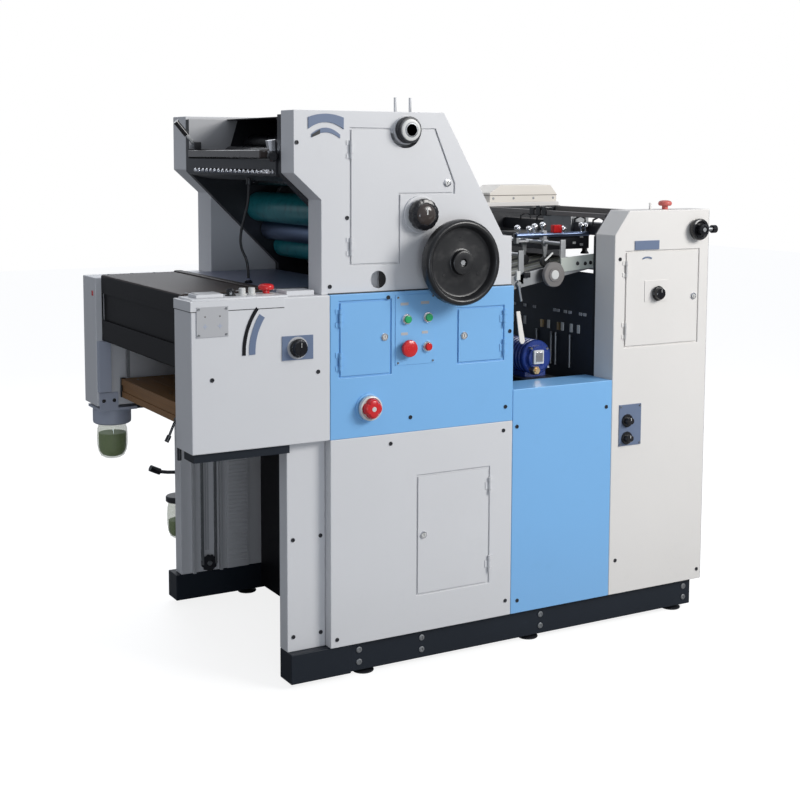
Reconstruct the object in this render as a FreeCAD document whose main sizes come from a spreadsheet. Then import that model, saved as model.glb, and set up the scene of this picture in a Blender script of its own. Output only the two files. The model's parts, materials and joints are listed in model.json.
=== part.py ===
import FreeCAD, Part
import math
import os

import Sketcher

# Small single-colour sheet-fed offset press.  Millimetres, +Z up, +X towards the feeder end,
# -Y towards the operator.  Stations along X and heights are counted from the left edge of the
# main covers' post and from the underside of the base; depth is counted from the operator's
# cover face.  The datum cells at the end of the sheet move all that to the frame's origin, the
# middle of the bounding box at floor level.

SIZES = {
    # across the machine
    "machine_wide": 950, "frame_near": 97, "frame_thick": 25, "drive_cover_deep": 127,
    "low_cover_deep": 84, "tower_setback": 15, "post_setback": 33, "box_deep": 124,
    # along the machine
    "box_reach": 290, "post_long": 120, "tower_foot": 100, "tower_top_long": 495,
    "slope_foot": 705, "main_end": 735, "feeder_start": 1113, "feeder_end": 1498,
    "base_long": 1470, "bay_end": 290, "frame_start": 330,
    # heights
    "foot_high": 15, "base_high": 87, "low_top": 689, "step_top": 783, "blue_top": 1098,
    "shoulder_high": 1246, "tower_high": 1606, "tower_chin": 1361, "tower_brow": 1435,
    "feeder_high": 1314, "feeder_chamfer_up": 76, "feeder_chamfer_in": 56,
    # base
    "rail_setback": 18, "foot_block_out": 10, "foot_block_long": 190,
    "foot_block_far": 18, "beam_wide": 70,
    "foot_rad": 32, "foot_stem": 9,
    # sheet metal and running gaps
    "plate_thick": 3, "seam": 0.8, "run_gap": 5, "seat_gap": 0.3, "recess_deep": 60,
    # hinges of the doors
    "hinge_out": 5, "knuckle_rad": 4.5, "pin_rad": 2, "pin_gap": 0.3, "knuckle_long": 22,
    "leaf_wide": 14, "leaf_thick": 2,
    # cylinders and rollers
    "blanket_rad": 88, "impression_rad": 88, "journal_rad": 22, "journal_gap": 0.3,
    "barrel_gap": 0.6, "upper_roller_rad": 49, "steel_roller_rad": 35, "lower_roller_rad": 38,
    "roller_journal": 12, "roller_gap": 0.5,
    "blanket_x": 503, "blanket_z": 1180,
    # handwheel
    "wheel_rad": 124, "wheel_rim": 22, "wheel_face": 90, "wheel_web": 14, "hub_rad": 34,
    "shaft_rad": 20,
    # pile board
    "board_left": 215, "board_right": 280, "board_top": 775, "board_thick": 60,
    "chain_left_x": 72, "chain_right_x": 119, "chain_half": 7, "sprocket_low": 118,
    "carrier_wide": 12, "carrier_high": 26,
    # hood of the delivery
    "hood_reach": 270, "hood_low": 900, "hood_top": 1108, "hood_skin": 4,
    # feeder
    "board_slope_low": 1058, "board_slope_high": 1140, "register_thick": 12,
    # datum, set from the measured bounding box
    "datum_x": 0, "datum_y": 0,
}


class Dim:
    """A length that keeps both its number and its sheet formula."""

    def __init__(self, value, text):
        self.value = float(value)
        self.text = text

    def __add__(self, other):
        other = dim(other)
        return Dim(self.value + other.value, f"({self.text} + {other.text})")

    def __sub__(self, other):
        other = dim(other)
        return Dim(self.value - other.value, f"({self.text} - {other.text})")

    def __mul__(self, factor):
        return Dim(self.value * factor, f"({self.text} * {factor})")

    def __truediv__(self, factor):
        return Dim(self.value / factor, f"({self.text} / {factor})")

    def __neg__(self):
        return Dim(-self.value, f"(0 - {self.text})")

    __radd__ = __add__
    __rmul__ = __mul__

    def __rsub__(self, other):
        return dim(other) - self


def dim(value):
    """Read a plain number or a Dim as a Dim."""
    return value if isinstance(value, Dim) else Dim(value, repr(float(value)))


class Sheet:
    """The driving sizes: one cell and one alias each, read back as Dim values."""

    def __init__(self, doc, sizes):
        self.page = doc.addObject("Spreadsheet::Sheet", "Sizes")
        self.rows = {}
        for row, (name, value) in enumerate(sizes.items(), start=1):
            self.page.set(f"A{row}", name)
            self.page.set(f"B{row}", str(value))
            self.page.setAlias(f"B{row}", name)
            self.rows[name] = row
        doc.recompute()

    def __getattr__(self, name):
        if name not in self.rows:
            raise AttributeError(name)
        return Dim(float(self.page.get(name)), f"Sizes.{name}")

    def put(self, name, value):
        self.page.set(f"B{self.rows[name]}", str(value))


doc = FreeCAD.newDocument("offset_press")
S = Sheet(doc, SIZES)
NODES = {}
PLANES = {"XZ": "XZ_Plane", "YZ": "YZ_Plane", "XY": "XY_Plane"}
TURNS = {"X": FreeCAD.Rotation(FreeCAD.Vector(0, 1, 0), 90),
         "Y": FreeCAD.Rotation(FreeCAD.Vector(1, 0, 0), -90),
         "Z": FreeCAD.Rotation()}


# ---------------------------------------------------------------- small building blocks

def bind(obj, prop, value):
    """Tie a property to its sheet formula."""
    obj.setExpression(prop, dim(value).text)


def place(obj, x, y, z):
    """Put an object at a station of the machine, counted from the frame's datum."""
    bind(obj, "Placement.Base.x", dim(x) + S.datum_x)
    bind(obj, "Placement.Base.y", dim(y) + S.datum_y)
    bind(obj, "Placement.Base.z", dim(z) + S.foot_high)


def box(name, xs, ys, zs):
    """A block between pairs of stations."""
    obj = doc.addObject("Part::Box", name)
    for prop, (low, high) in zip(("Length", "Width", "Height"), (xs, ys, zs)):
        bind(obj, prop, dim(high) - low)
    place(obj, xs[0], ys[0], zs[0])
    return obj


def rod(name, axis, centre, span, radius):
    """A round bar along X, Y or Z: centre holds the two other stations in X, Y, Z order."""
    obj = doc.addObject("Part::Cylinder", name)
    bind(obj, "Radius", radius)
    bind(obj, "Height", dim(span[1]) - span[0])
    obj.Placement = FreeCAD.Placement(FreeCAD.Vector(), TURNS[axis])
    spots = list(centre)
    spots.insert("XYZ".index(axis), span[0])
    place(obj, *spots)
    return obj


def ball(name, centre, radius, low=-90):
    """A ball, or its upper part down to the latitude low."""
    obj = doc.addObject("Part::Sphere", name)
    bind(obj, "Radius", radius)
    obj.Angle1 = low
    place(obj, *centre)
    return obj


def joined(name, *pieces):
    """Pieces that are one solid."""
    obj = doc.addObject("Part::MultiFuse", name)
    obj.Shapes = list(pieces)
    return obj


def apart(name, *pieces):
    """Like pieces that share a node and don't touch."""
    obj = doc.addObject("Part::Compound", name)
    obj.Links = list(pieces)
    return obj


def cut(name, base, *tools):
    """A piece with bores or recesses taken out."""
    tool = tools[0]
    if len(tools) > 1:
        tool = joined(name + "_tools", *tools)
    obj = doc.addObject("Part::Cut", name)
    obj.Base = base
    obj.Tool = tool
    return obj


def node(obj, label):
    """Name a finished sub-part."""
    obj.Label = label
    NODES[label] = obj
    return obj


def outline(sketch, points):
    """A closed polygon whose corners are tied to their formulas."""
    spots = [(dim(a), dim(b)) for a, b in points]
    count = len(spots)
    for i, (a, b) in enumerate(spots):
        c, d = spots[(i + 1) % count]
        start = FreeCAD.Vector(a.value, b.value, 0)
        end = FreeCAD.Vector(c.value, d.value, 0)
        sketch.addGeometry(Part.LineSegment(start, end))
    for i in range(count):
        sketch.addConstraint(Sketcher.Constraint("Coincident", i, 2, (i + 1) % count, 1))
    for i, spot in enumerate(spots):
        for kind, value in zip(("DistanceX", "DistanceY"), spot):
            index = sketch.addConstraint(Sketcher.Constraint(kind, -1, 1, i, 1, value.value))
            if value.text.startswith("(") or value.text.startswith("Sizes"):
                sketch.setExpression(f"Constraints[{index}]", value.text)


def sketch_on(body, plane, name):
    """A sketch on one of the body's own origin planes."""
    sketch = body.newObject("Sketcher::SketchObject", name)
    support = [o for o in body.Origin.OriginFeatures if o.Role == PLANES[plane]][0]
    sketch.AttachmentSupport = [(support, "")]
    sketch.MapMode = "FlatFace"
    return sketch


def slab(name, plane, points, span):
    """A plate of any outline, drawn across one axis and padded over a span along it."""
    body = doc.addObject("PartDesign::Body", name)
    sketch = sketch_on(body, plane, name + "_outline")
    outline(sketch, points)
    pad = body.newObject("PartDesign::Pad", name + "_pad")
    pad.Profile = sketch
    pad.Reversed = plane == "XZ"
    bind(pad, "Length", dim(span[1]) - span[0])
    spots = [0, 0, 0]
    spots[{"XZ": 1, "YZ": 0, "XY": 2}[plane]] = span[0]
    place(body, *spots)
    return body


# ---------------------------------------------------------------- shared stations

NEAR_FRAME = (S.frame_near, S.frame_near + S.frame_thick)
FAR_FACE = S.machine_wide - S.drive_cover_deep
FAR_FRAME = (FAR_FACE - S.frame_thick, FAR_FACE)
INSIDE = (NEAR_FRAME[1] + S.run_gap, FAR_FRAME[0] - S.run_gap)
FAR_LOW = S.machine_wide - S.low_cover_deep
WIDE = S.machine_wide
BLANKET = (S.blanket_x, S.blanket_z)
BARREL_PITCH = S.blanket_rad * 2 + S.barrel_gap


def beside(centre, distance, degrees):
    """The centre of a roller at a distance and a direction, measured up from +X."""
    lean = math.radians(degrees)
    return (centre[0] + distance * round(math.cos(lean), 6),
            centre[1] + distance * round(math.sin(lean), 6))


PLATE = beside(BLANKET, BARREL_PITCH, 126.7)
IMPRESSION = beside(BLANKET, S.blanket_rad + S.impression_rad + S.barrel_gap, -56.6)
UPPER = beside(PLATE, S.blanket_rad + S.upper_roller_rad + S.roller_gap, 182.3)
STEEL = beside(UPPER, S.upper_roller_rad + S.steel_roller_rad + S.roller_gap, -63.3)
LOWER = beside(STEEL, S.steel_roller_rad + S.lower_roller_rad + S.roller_gap, -48.6)
LEVER = (32, 1512)
CABLE_START = (52, 400, 1396)
CABLE_END = (40, 380, 1119)
TOWER_OUTLINE = [
    (0, S.tower_brow), (S.tower_foot, S.tower_chin), (S.tower_foot, S.blue_top),
    (S.main_end, S.blue_top), (S.main_end, S.shoulder_high), (S.slope_foot, S.shoulder_high),
    (S.tower_top_long, S.tower_high), (0, S.tower_high)]
FEEDER_OUTLINE = [
    (S.feeder_start, S.base_high), (S.feeder_end, S.base_high),
    (S.feeder_end, S.feeder_high), (S.feeder_start + S.feeder_chamfer_in, S.feeder_high),
    (S.feeder_start, S.feeder_high - S.feeder_chamfer_up)]


# ---------------------------------------------------------------- base and side frames

def make_base():
    rails = []
    far_rail = WIDE - S.rail_setback
    for side, near, far, start, block in (
            ("near", S.rail_setback, S.low_cover_deep, 0,
             (S.rail_setback - S.foot_block_out, S.low_cover_deep)),
            ("far", FAR_LOW, far_rail, -S.foot_block_far, (FAR_LOW, far_rail + S.foot_block_out))):
        rail = box(f"rail_{side}", (0, S.base_long), (near, far), (0, S.base_high))
        foot = box(f"rail_block_{side}", (start, S.foot_block_long), block, (0, S.base_high))
        rails.append(joined(f"rail_full_{side}", rail, foot))
    node(apart("rails", *rails), "base_rails")
    beams = []
    for index, start in enumerate((S.frame_start, S.main_end + 40,
                                   S.base_long - S.beam_wide - 20)):
        beams.append(box(f"beam_{index}", (start, start + S.beam_wide),
                         (S.low_cover_deep, FAR_LOW), (6, S.base_high)))
    node(apart("beams", *beams), "base_cross_beams")
    feet = []
    for side, y in (("near", S.rail_setback + S.foot_rad), ("far", FAR_LOW + S.foot_rad)):
        for index, x in enumerate((dim(250), S.main_end + 100, S.base_long - 55)):
            pad = rod(f"pad_{side}_{index}", "Z", (x, y), (-S.foot_high, -4), S.foot_rad)
            stem = rod(f"stem_{side}_{index}", "Z", (x, y), (-4, 0), S.foot_stem)
            feet.append(joined(f"foot_{side}_{index}", pad, stem))
    node(apart("feet", *feet), "levelling_feet")


def frame_outline():
    """One casting: tower, press body and feeder column."""
    edge = 10
    top = S.tower_high - edge
    column = S.feeder_start + edge
    return [(17, S.tower_brow - 5), (17, top), (S.tower_top_long - edge, top),
            (S.slope_foot - edge, S.shoulder_high - 14),
            (S.main_end - edge, S.shoulder_high - 14), (S.main_end - edge, S.step_top - 13),
            (column, S.step_top - 13), (column, S.feeder_high - S.feeder_chamfer_up - edge),
            (column + S.feeder_chamfer_in - 4, S.feeder_high - 14),
            (S.feeder_end - edge, S.feeder_high - 14), (S.feeder_end - edge, S.base_high),
            (S.frame_start, S.base_high), (S.frame_start, 1125)]


def make_frames():
    frames = []
    bores = (("plate", PLATE, S.journal_rad + S.journal_gap),
             ("blanket", BLANKET, S.journal_rad + S.journal_gap),
             ("impression", IMPRESSION, S.journal_rad + S.journal_gap),
             ("upper", UPPER, S.roller_journal + S.journal_gap),
             ("steel", STEEL, S.roller_journal + S.journal_gap),
             ("lower", LOWER, S.roller_journal + S.journal_gap))
    for side, span in (("near", NEAR_FRAME), ("far", FAR_FRAME)):
        plate = slab(f"frame_{side}", "XZ", frame_outline(), span)
        tools = [rod(f"bore_{label}_{side}", "Y", centre, (span[0] - 5, span[1] + 5), radius)
                 for label, centre, radius in bores]
        frames.append(cut(f"frame_bored_{side}", plate, *tools))
    node(apart("frames", *frames), "side_frames")


# ---------------------------------------------------------------- doors with their hinges

HINGES = []


def hinge_pair(name, side, edge, face, heights):
    """Two hinges at a door's edge: the door's middle knuckles, and fixed pins with leaves."""
    out = dim(face) - S.hinge_out
    axis = edge - S.run_gap / 2 if side == "left" else edge + S.run_gap / 2
    door_pieces = []
    half = S.knuckle_long / 2
    for index, z in enumerate(heights):
        knuckle = rod(f"{name}_knuckle_{index}", "Z", (axis, out),
                      (z - half, z + half), S.knuckle_rad)
        bore = rod(f"{name}_knuckle_bore_{index}", "Z", (axis, out),
                   (z - half - 1, z + half + 1), S.pin_rad + S.pin_gap)
        if side == "left":
            door_leaf = (axis, axis + S.leaf_wide)
            wall_leaf = (axis - S.leaf_wide, axis)
        else:
            door_leaf = (axis - S.leaf_wide, axis)
            wall_leaf = (axis, axis + S.leaf_wide)
        depth = (dim(face) - S.leaf_thick, dim(face))
        leaf = box(f"{name}_leaf_{index}", door_leaf, depth, (z - half, z + half))
        solid = joined(f"{name}_swing_{index}", knuckle, leaf)
        door_pieces.append(cut(f"{name}_bored_{index}", solid, bore))
        outer = half + S.pin_gap * 3
        reach = outer + S.knuckle_long * 0.6
        pin = rod(f"{name}_pin_{index}", "Z", (axis, out), (z - reach, z + reach), S.pin_rad)
        fixed = [pin]
        for end, low, high in (("low", z - reach, z - outer), ("high", z + outer, z + reach)):
            fixed.append(rod(f"{name}_fixed_{end}_{index}", "Z", (axis, out), (low, high),
                             S.knuckle_rad))
            fixed.append(box(f"{name}_wall_{end}_{index}", wall_leaf, depth, (low, high)))
        HINGES.append(joined(f"{name}_hinge_{index}", *fixed))
    return door_pieces


def make_doors():
    gap = S.run_gap
    thick = S.plate_thick
    cavities = {}
    plain = {
        "control_door_left": ("left", 152, 310, 868, 1074, 0, (910, 1032)),
        "control_door_right": ("right", 541, 696, 881, 1036, 0, (915, 1002)),
        "lower_hatch": ("right", 406, 650, 204, 553, 0, (260, 500)),
        "feeder_door": ("left", 1161, 1454, 887, 1182, 0, (937, 1132)),
    }
    for name, (side, left, right, low, high, face, heights) in plain.items():
        leaf = box(name + "_leaf", (left, right), (face, dim(face) + thick), (low, high))
        edge = dim(left if side == "left" else right)
        pieces = hinge_pair(name, side, edge, face, heights)
        lock_x = right - 18 if side == "left" else left + 18
        lock = rod(name + "_lock", "Y", (lock_x, (low + high) / 2), (-2, 0), 8)
        pieces.append(lock)
        if name == "feeder_door":
            pieces.append(box(name + "_plate", (1234, 1330), (-2, 0), (1024, 1091)))
            whole = joined(name + "_whole", leaf, *pieces)
            bore = rod(name + "_knob_bore", "Y", (1283, 1050), (-5, 10), 5.5)
            node(cut(name + "_done", whole, bore), name)
        else:
            node(joined(name + "_whole", leaf, *pieces), name)
        cavities[name] = box(name + "_cavity", (left - gap, right + gap),
                             (face - 1, dim(face) + S.recess_deep), (low - gap, high + gap))
    # the tower door is an L that steps back round the water knob
    face = S.tower_setback
    corners = [(194, 1181), (194, 1555), (462, 1555), (528, 1400), (528, 1378), (345, 1378),
               (345, 1181)]
    wide = [(194 - gap, 1181 - gap), (194 - gap, 1555 + gap), (462 + gap, 1555 + gap),
            (528 + gap, 1400 + gap), (528 + gap, 1378 - gap), (345 + gap, 1378 - gap),
            (345 + gap, 1181 - gap)]
    leaf = slab("tower_door_leaf", "XZ", corners, (face, face + thick))
    pieces = hinge_pair("tower_door", "left", dim(194), face, (1230, 1500))
    pieces.append(rod("tower_door_lock", "Y", (506, 1405), (face - 2, face), 8))
    whole = joined("tower_door_whole", leaf, *pieces)
    notch = rod("tower_door_notch", "Y", (368, 1555), (face - 5, face + 10),
                S.run_gap * 2 + 41)
    node(cut("tower_door_done", whole, notch), "tower_door")
    hollow = slab("tower_cavity_full", "XZ", wide, (face - 1, face + S.recess_deep))
    boss = rod("tower_cavity_boss", "Y", (368, 1555), (face - 2, face + S.recess_deep + 1), 41)
    cavities["tower_door"] = cut("tower_cavity", hollow, boss)
    return cavities


# ---------------------------------------------------------------- covers

def make_covers(cavities):
    seam = S.seam
    tower = slab("tower_cover", "XZ", TOWER_OUTLINE, (S.tower_setback, S.frame_near))
    pins = [rod(f"tower_stud_{x}", "Z", (x, 40), (S.tower_high, S.tower_high + 41), 4)
            for x in (347, 396)]
    tools = [cavities["tower_door"],
             rod("shaft_hole", "Y", BLANKET, (0, 110), S.shaft_rad + 8),
             rod("water_hole", "Y", (415, 1316), (0, 60), 12.5),
             rod("ring_hole", "Y", (368, 1555), (0, 50), 8.5),
             rod("sight_hole", "Y", (280, 1134), (0, 40), 25)]
    node(cut("tower_cover_done", joined("tower_cover_full", tower, *pins), *tools),
         "tower_cover_front")
    control = box("control_cover", (S.post_long, S.main_end),
                  (0, S.low_cover_deep), (S.low_top, S.blue_top))
    node(cut("control_cover_done", control, cavities["control_door_left"],
             cavities["control_door_right"], rod("pressure_hole", "Y", (239, 773), (-5, 40), 8.5)),
         "control_cover_front")
    lower = box("lower_cover", (S.post_long, S.main_end), (0, S.low_cover_deep),
                (S.base_high, S.low_top))
    node(cut("lower_cover_done", lower, cavities["lower_hatch"]), "lower_cover_front")
    step = box("step_cover", (S.main_end + seam, S.feeder_start - seam),
               (0, S.low_cover_deep), (S.base_high, S.step_top))
    table = box("step_table", (S.main_end + seam, S.feeder_start - seam),
                (S.low_cover_deep, 135), (S.step_top - 6, S.step_top))
    node(joined("step_cover_done", step, table), "step_cover_front")
    feeder = joined("feeder_cover_full",
                    slab("feeder_cover", "XZ", FEEDER_OUTLINE, (0, S.frame_near)),
                    rod("feeder_stub", "X", (30, 1247), (S.feeder_end - 1, S.feeder_end + 46), 8),
                    rod("feeder_stub_end", "X", (30, 1247),
                        (S.feeder_end + 38, S.feeder_end + 54), 13),
                    rod("feeder_stick", "Z", (1300, 60),
                        (S.feeder_high - 1, S.feeder_high + 21), 4))
    node(cut("feeder_cover_done", feeder, cavities["feeder_door"],
             rod("wheel_hole", "Y", (1442, 1250), (-5, 45), 6.5),
             rod("feeder_stop_hole", "Z", (1353, 50), (S.feeder_high - 40, S.feeder_high + 5), 10)),
         "feeder_cover_front")
    far_tower = slab("far_tower", "XZ", TOWER_OUTLINE, (FAR_FACE, WIDE - S.tower_setback))
    far_lower = box("far_lower", (S.post_long, S.main_end), (FAR_LOW, WIDE),
                    (S.base_high, S.low_top))
    far_feeder = slab("far_feeder", "XZ", FEEDER_OUTLINE, (FAR_FACE, WIDE))
    node(apart("far_white", far_tower, far_lower, far_feeder), "drive_covers_white")
    far_control = box("far_control", (S.post_long, S.main_end), (FAR_LOW, WIDE),
                      (S.low_top, S.blue_top))
    far_step = box("far_step", (S.main_end + seam, S.feeder_start - seam),
                   (FAR_LOW, WIDE), (S.base_high, S.step_top))
    node(apart("far_blue", far_control, far_step), "drive_covers_blue")
    guard = slab("guard", "XZ", [
        (150, S.tower_high - 12), (S.tower_top_long - 14, S.tower_high - 12),
        (S.slope_foot - 16, S.shoulder_high - 16), (S.slope_foot - 12, S.shoulder_high - 13),
        (S.tower_top_long - 12, S.tower_high - 8), (150, S.tower_high - 8)],
        (NEAR_FRAME[1], FAR_FRAME[0]))
    node(guard, "tower_guard")
    deck = box("deck", (0, S.frame_start - 5), (S.frame_near, FAR_FACE),
               (S.blue_top, S.blue_top + 6))
    gland = rod("deck_gland", "Z", CABLE_END[:2], (S.blue_top + 6, CABLE_END[2]), 8)
    node(joined("deck_done", deck, gland), "tower_deck")


# ---------------------------------------------------------------- delivery end

def make_delivery():
    posts = [box("post_near", (0, S.post_long - S.seam), (S.post_setback, S.low_cover_deep),
                 (S.base_high, S.low_top)),
             box("post_far", (0, S.post_long - S.seam), (FAR_LOW, WIDE - S.post_setback),
                 (S.base_high, S.low_top))]
    node(apart("posts", *posts), "delivery_posts")
    boxes = []
    reach = (-S.box_reach, S.post_long - S.seam)
    near = box("side_box_near", reach, (0, S.box_deep), (S.low_top, S.blue_top))
    lid = box("side_box_lid", (-S.box_reach + 8, -5), (10, S.box_deep - 12),
              (S.blue_top, S.blue_top + 6))
    stop_hole = rod("stop_hole", "Z", (-47, 60), (S.blue_top - 35, S.blue_top + 10), 10)
    knob_hole = rod("delivery_knob_hole", "Y", (18, 958), (-5, 40), 5.5)
    boxes.append(cut("side_box_done", joined("side_box_lidded", near, lid), stop_hole, knob_hole))
    boxes.append(box("side_box_far", reach, (FAR_FACE, WIDE), (S.low_top, S.blue_top)))
    node(apart("side_boxes", *boxes), "delivery_boxes")
    left = -S.hood_reach
    skin = S.hood_skin
    hood = slab("hood", "XZ", [
        (left, S.hood_low), (left + 3 * skin, S.hood_low), (left + 3 * skin, S.hood_top - skin),
        (-2, S.hood_top - skin), (-2, S.hood_top), (left, S.hood_top)],
        (S.box_deep, FAR_FACE))
    window = box("hood_window", (left - 1, left + 6), (S.box_deep + 56, FAR_FACE - 6),
                 (965, 1050))
    node(cut("hood_done", hood, window), "delivery_hood")
    node(box("bay_plate", (S.bay_end, S.bay_end + 6), (S.low_cover_deep, FAR_LOW),
             (10, S.blue_top - 1)), "bay_back_plate")
    node(box("louvre", (162, 243), (FAR_LOW - 6, FAR_LOW), (S.base_high, S.low_top)),
         "louvred_panel")
    make_pile_board()
    make_chains()


def make_pile_board():
    top = S.board_top
    near = S.box_deep + 26
    far = FAR_FACE - 11
    node(box("board", (-S.board_left, S.board_right), (near, far), (top - S.board_thick, top)),
         "pile_board")
    under = top - S.board_thick
    middle = (S.chain_left_x + S.chain_right_x) / 2
    half = S.carrier_wide / 2
    bar_top = S.low_top - S.run_gap
    bar = box("carrier_bar", (middle - half, middle + half),
              (S.low_cover_deep + 8, FAR_LOW - 8), (bar_top - S.carrier_high, bar_top))
    guide = (S.chain_left_x + S.chain_half + S.seat_gap, S.chain_right_x - S.chain_half - S.seat_gap)
    lugs = [box(f"carrier_lug_{side}", guide, span, (bar_top - S.carrier_high, bar_top))
            for side, span in (("near", (S.low_cover_deep + 8, S.low_cover_deep + 18)),
                               ("far", (FAR_LOW - 18, FAR_LOW - 8)))]
    saddle = box("carrier_saddle", (middle - 30, middle + 30), (near + 10, far - 10),
                 (bar_top, under))
    node(joined("carrier", bar, saddle, *lugs), "pile_carrier")


def make_chains():
    """On each side of the bay a loop of chain rises from its sprocket, and an outer fall hangs."""
    loops = []
    middle = (S.chain_left_x + S.chain_right_x) / 2
    pitch = (S.chain_right_x - S.chain_left_x) / 2
    for side, low, high in (("near", S.low_cover_deep + 4, S.low_cover_deep + 18),
                            ("far", FAR_LOW - 18, FAR_LOW - 4)):
        half = S.chain_half
        strands = [box(f"chain_{side}_{index}", (x - half, x + half), (low, high),
                       (S.sprocket_low, S.low_top))
                   for index, x in enumerate((S.chain_left_x, S.chain_right_x))]
        wheel = rod(f"sprocket_{side}", "Y", (middle, S.sprocket_low), (low, high),
                    pitch + S.chain_half)
        span = (S.low_cover_deep, high) if side == "near" else (low, FAR_LOW)
        shaft = rod(f"sprocket_shaft_{side}", "Y", (middle, S.sprocket_low), span, 8)
        loops.append(joined(f"loop_{side}", *strands, wheel, shaft))
    for side, y in (("near", S.box_deep + 34), ("far", FAR_FACE - 34)):
        fall = box(f"fall_{side}", (-204, -190), (y - 5, y + 5),
                   (S.board_top + S.run_gap, S.hood_top - S.hood_skin))
        loops.append(fall)
    node(apart("chains", *loops), "hoist_chains")


# ---------------------------------------------------------------- printing tower

def journalled(name, centre, radius, journal, reach=(None, None)):
    """A barrel between the side frames with a journal through each."""
    low = reach[0] if reach[0] is not None else NEAR_FRAME[0]
    high = reach[1] if reach[1] is not None else FAR_FRAME[1]
    barrel = rod(name + "_barrel", "Y", centre, INSIDE, radius)
    stem = rod(name + "_journal", "Y", centre, (low, high), journal)
    return joined(name, barrel, stem)


def make_tower():
    node(journalled("plate_cyl", PLATE, S.blanket_rad, S.journal_rad), "plate_cylinder")
    node(journalled("blanket_cyl", BLANKET, S.blanket_rad, S.journal_rad), "blanket_cylinder")
    node(journalled("impression_cyl", IMPRESSION, S.impression_rad, S.journal_rad),
         "impression_cylinder")
    node(journalled("upper_roll", UPPER, S.upper_roller_rad, S.roller_journal),
         "ink_roller_upper")
    node(journalled("steel_roll", STEEL, S.steel_roller_rad, S.roller_journal),
         "ink_roller_steel")
    node(journalled("lower_roll", LOWER, S.lower_roller_rad, S.roller_journal),
         "ink_roller_lower")
    span = (NEAR_FRAME[1], FAR_FRAME[0])
    train = [rod(f"train_{index}", "Y", centre, span, radius) for index, (centre, radius) in
             enumerate((((160, 1482), 30), ((232, 1420), 34), ((330, 1436), 40),
                        ((345, 1540), 28), ((232, 1520), 30), ((415, 1500), 30)))]
    node(apart("train", *train), "roller_train")
    make_fountain(span)


def make_fountain(span):
    front = 12
    trough = slab("trough", "XZ", [
        (front, 1425), (70, 1408), (128, 1452), (128, 1472), (60, 1500), (front, 1500)], span)
    gland = rod("fountain_gland", "Z", CABLE_START[:2], (CABLE_START[2], 1420), 8)
    lug = box("lever_lug", (20, 44), (755, 765), (1495, 1524))
    bore = rod("lever_bore", "Y", LEVER, (750, 770), 4.3)
    node(cut("fountain_done", joined("fountain", trough, gland, lug), bore), "ink_fountain")
    keys = []
    count = 18
    first = 135
    last = 672
    for index in range(count):
        y = first + (last - first) * index / (count - 1)
        keys.append(rod(f"key_{index}", "X", (y, 1437), (front - 26, front - S.seat_gap), 9))
    node(apart("keys", *keys), "ink_keys")
    hub = rod("lever_hub", "Y", LEVER, (767, 785), 9)
    pin = rod("lever_pin", "Y", LEVER, (756, 768), 4)
    arm = slab("lever_arm", "XZ", [(28.5, 1508.5), (-1.5, 1543.5), (5.5, 1549.5), (35.5, 1514.5)],
               (772, 780))
    grip = slab("lever_grip", "XZ", [(-5.5, 1540), (-39, 1578.5), (-23, 1591.5), (9.5, 1553)],
                (766, 786))
    node(joined("lever", hub, pin, arm, grip), "fountain_lever")


def make_cable():
    """The hanging cable from the fountain's gland to the deck: straight runs and tangent arcs."""
    route = [CABLE_START, (52, 400, 1352), (38, 398, 1304), (22, 394, 1256),
             (18, 388, 1210), (CABLE_END[0], CABLE_END[1], 1165), CABLE_END]
    radius = 4
    shift = FreeCAD.Vector(S.datum_x.value, S.datum_y.value, S.foot_high.value)
    points = [FreeCAD.Vector(*spot) + shift for spot in route]
    edges = []
    start = points[0]
    for before, corner, after in zip(points, points[1:], points[2:]):
        into = (corner - before).normalize()
        away = (after - corner).normalize()
        turn = into.getAngle(away)
        reach = 0.45 * min((corner - before).Length, (after - corner).Length)
        enter = corner - into * reach
        leave = corner + away * reach
        swing = reach / math.tan(turn / 2)
        middle_way = (away - into).normalize()
        middle = corner + middle_way * ((swing ** 2 + reach ** 2) ** 0.5 - swing)
        edges.append(Part.LineSegment(start, enter).toShape())
        edges.append(Part.Arc(enter, middle, leave).toShape())
        start = leave
        print(f"cable bend radius {swing:.0f}")
    edges.append(Part.LineSegment(start, points[-1]).toShape())
    path = Part.Wire(edges)
    ring = Part.Wire(Part.makeCircle(radius, points[0], points[1] - points[0]))
    tube = path.makePipeShell([ring], True, False)
    obj = doc.addObject("Part::Feature", "cable")
    obj.Shape = tube
    node(obj, "fountain_cable")
    ratio = tube.Volume / (path.Length * math.pi * radius ** 2)
    if abs(ratio - 1) > 0.01:
        raise RuntimeError(f"cable volume is off by {ratio:.3f}")


# ---------------------------------------------------------------- handwheel, knobs and buttons

def make_handwheel():
    face = -S.wheel_face
    back = face + 40
    rim = S.wheel_rad - S.wheel_rim
    disc = rod("wheel_disc", "Y", BLANKET, (face, back), S.wheel_rad)
    dish = rod("wheel_dish", "Y", BLANKET, (face - 1, face + 16), rim)
    hollow = rod("wheel_hollow", "Y", BLANKET, (face + 16 + S.wheel_web, back + 1), rim)
    hub = rod("wheel_hub", "Y", BLANKET, (face + 5, back + 10), S.hub_rad)
    shaft = rod("wheel_shaft", "Y", BLANKET, (face + 20, S.frame_near), S.shaft_rad)
    ring = cut("wheel_ring", disc, dish, hollow)
    node(joined("wheel", ring, hub, shaft), "handwheel")


def knob(label, centre, face, radius, deep, shaft, into):
    """A turning knob that stands off its face on a shaft."""
    low = dim(face) - S.run_gap
    grip = rod(label + "_grip", "Y", centre, (low - deep, low), radius)
    stem = rod(label + "_stem", "Y", centre, (low - 1, dim(face) + into), shaft)
    return joined(label + "_whole", grip, stem)


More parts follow.
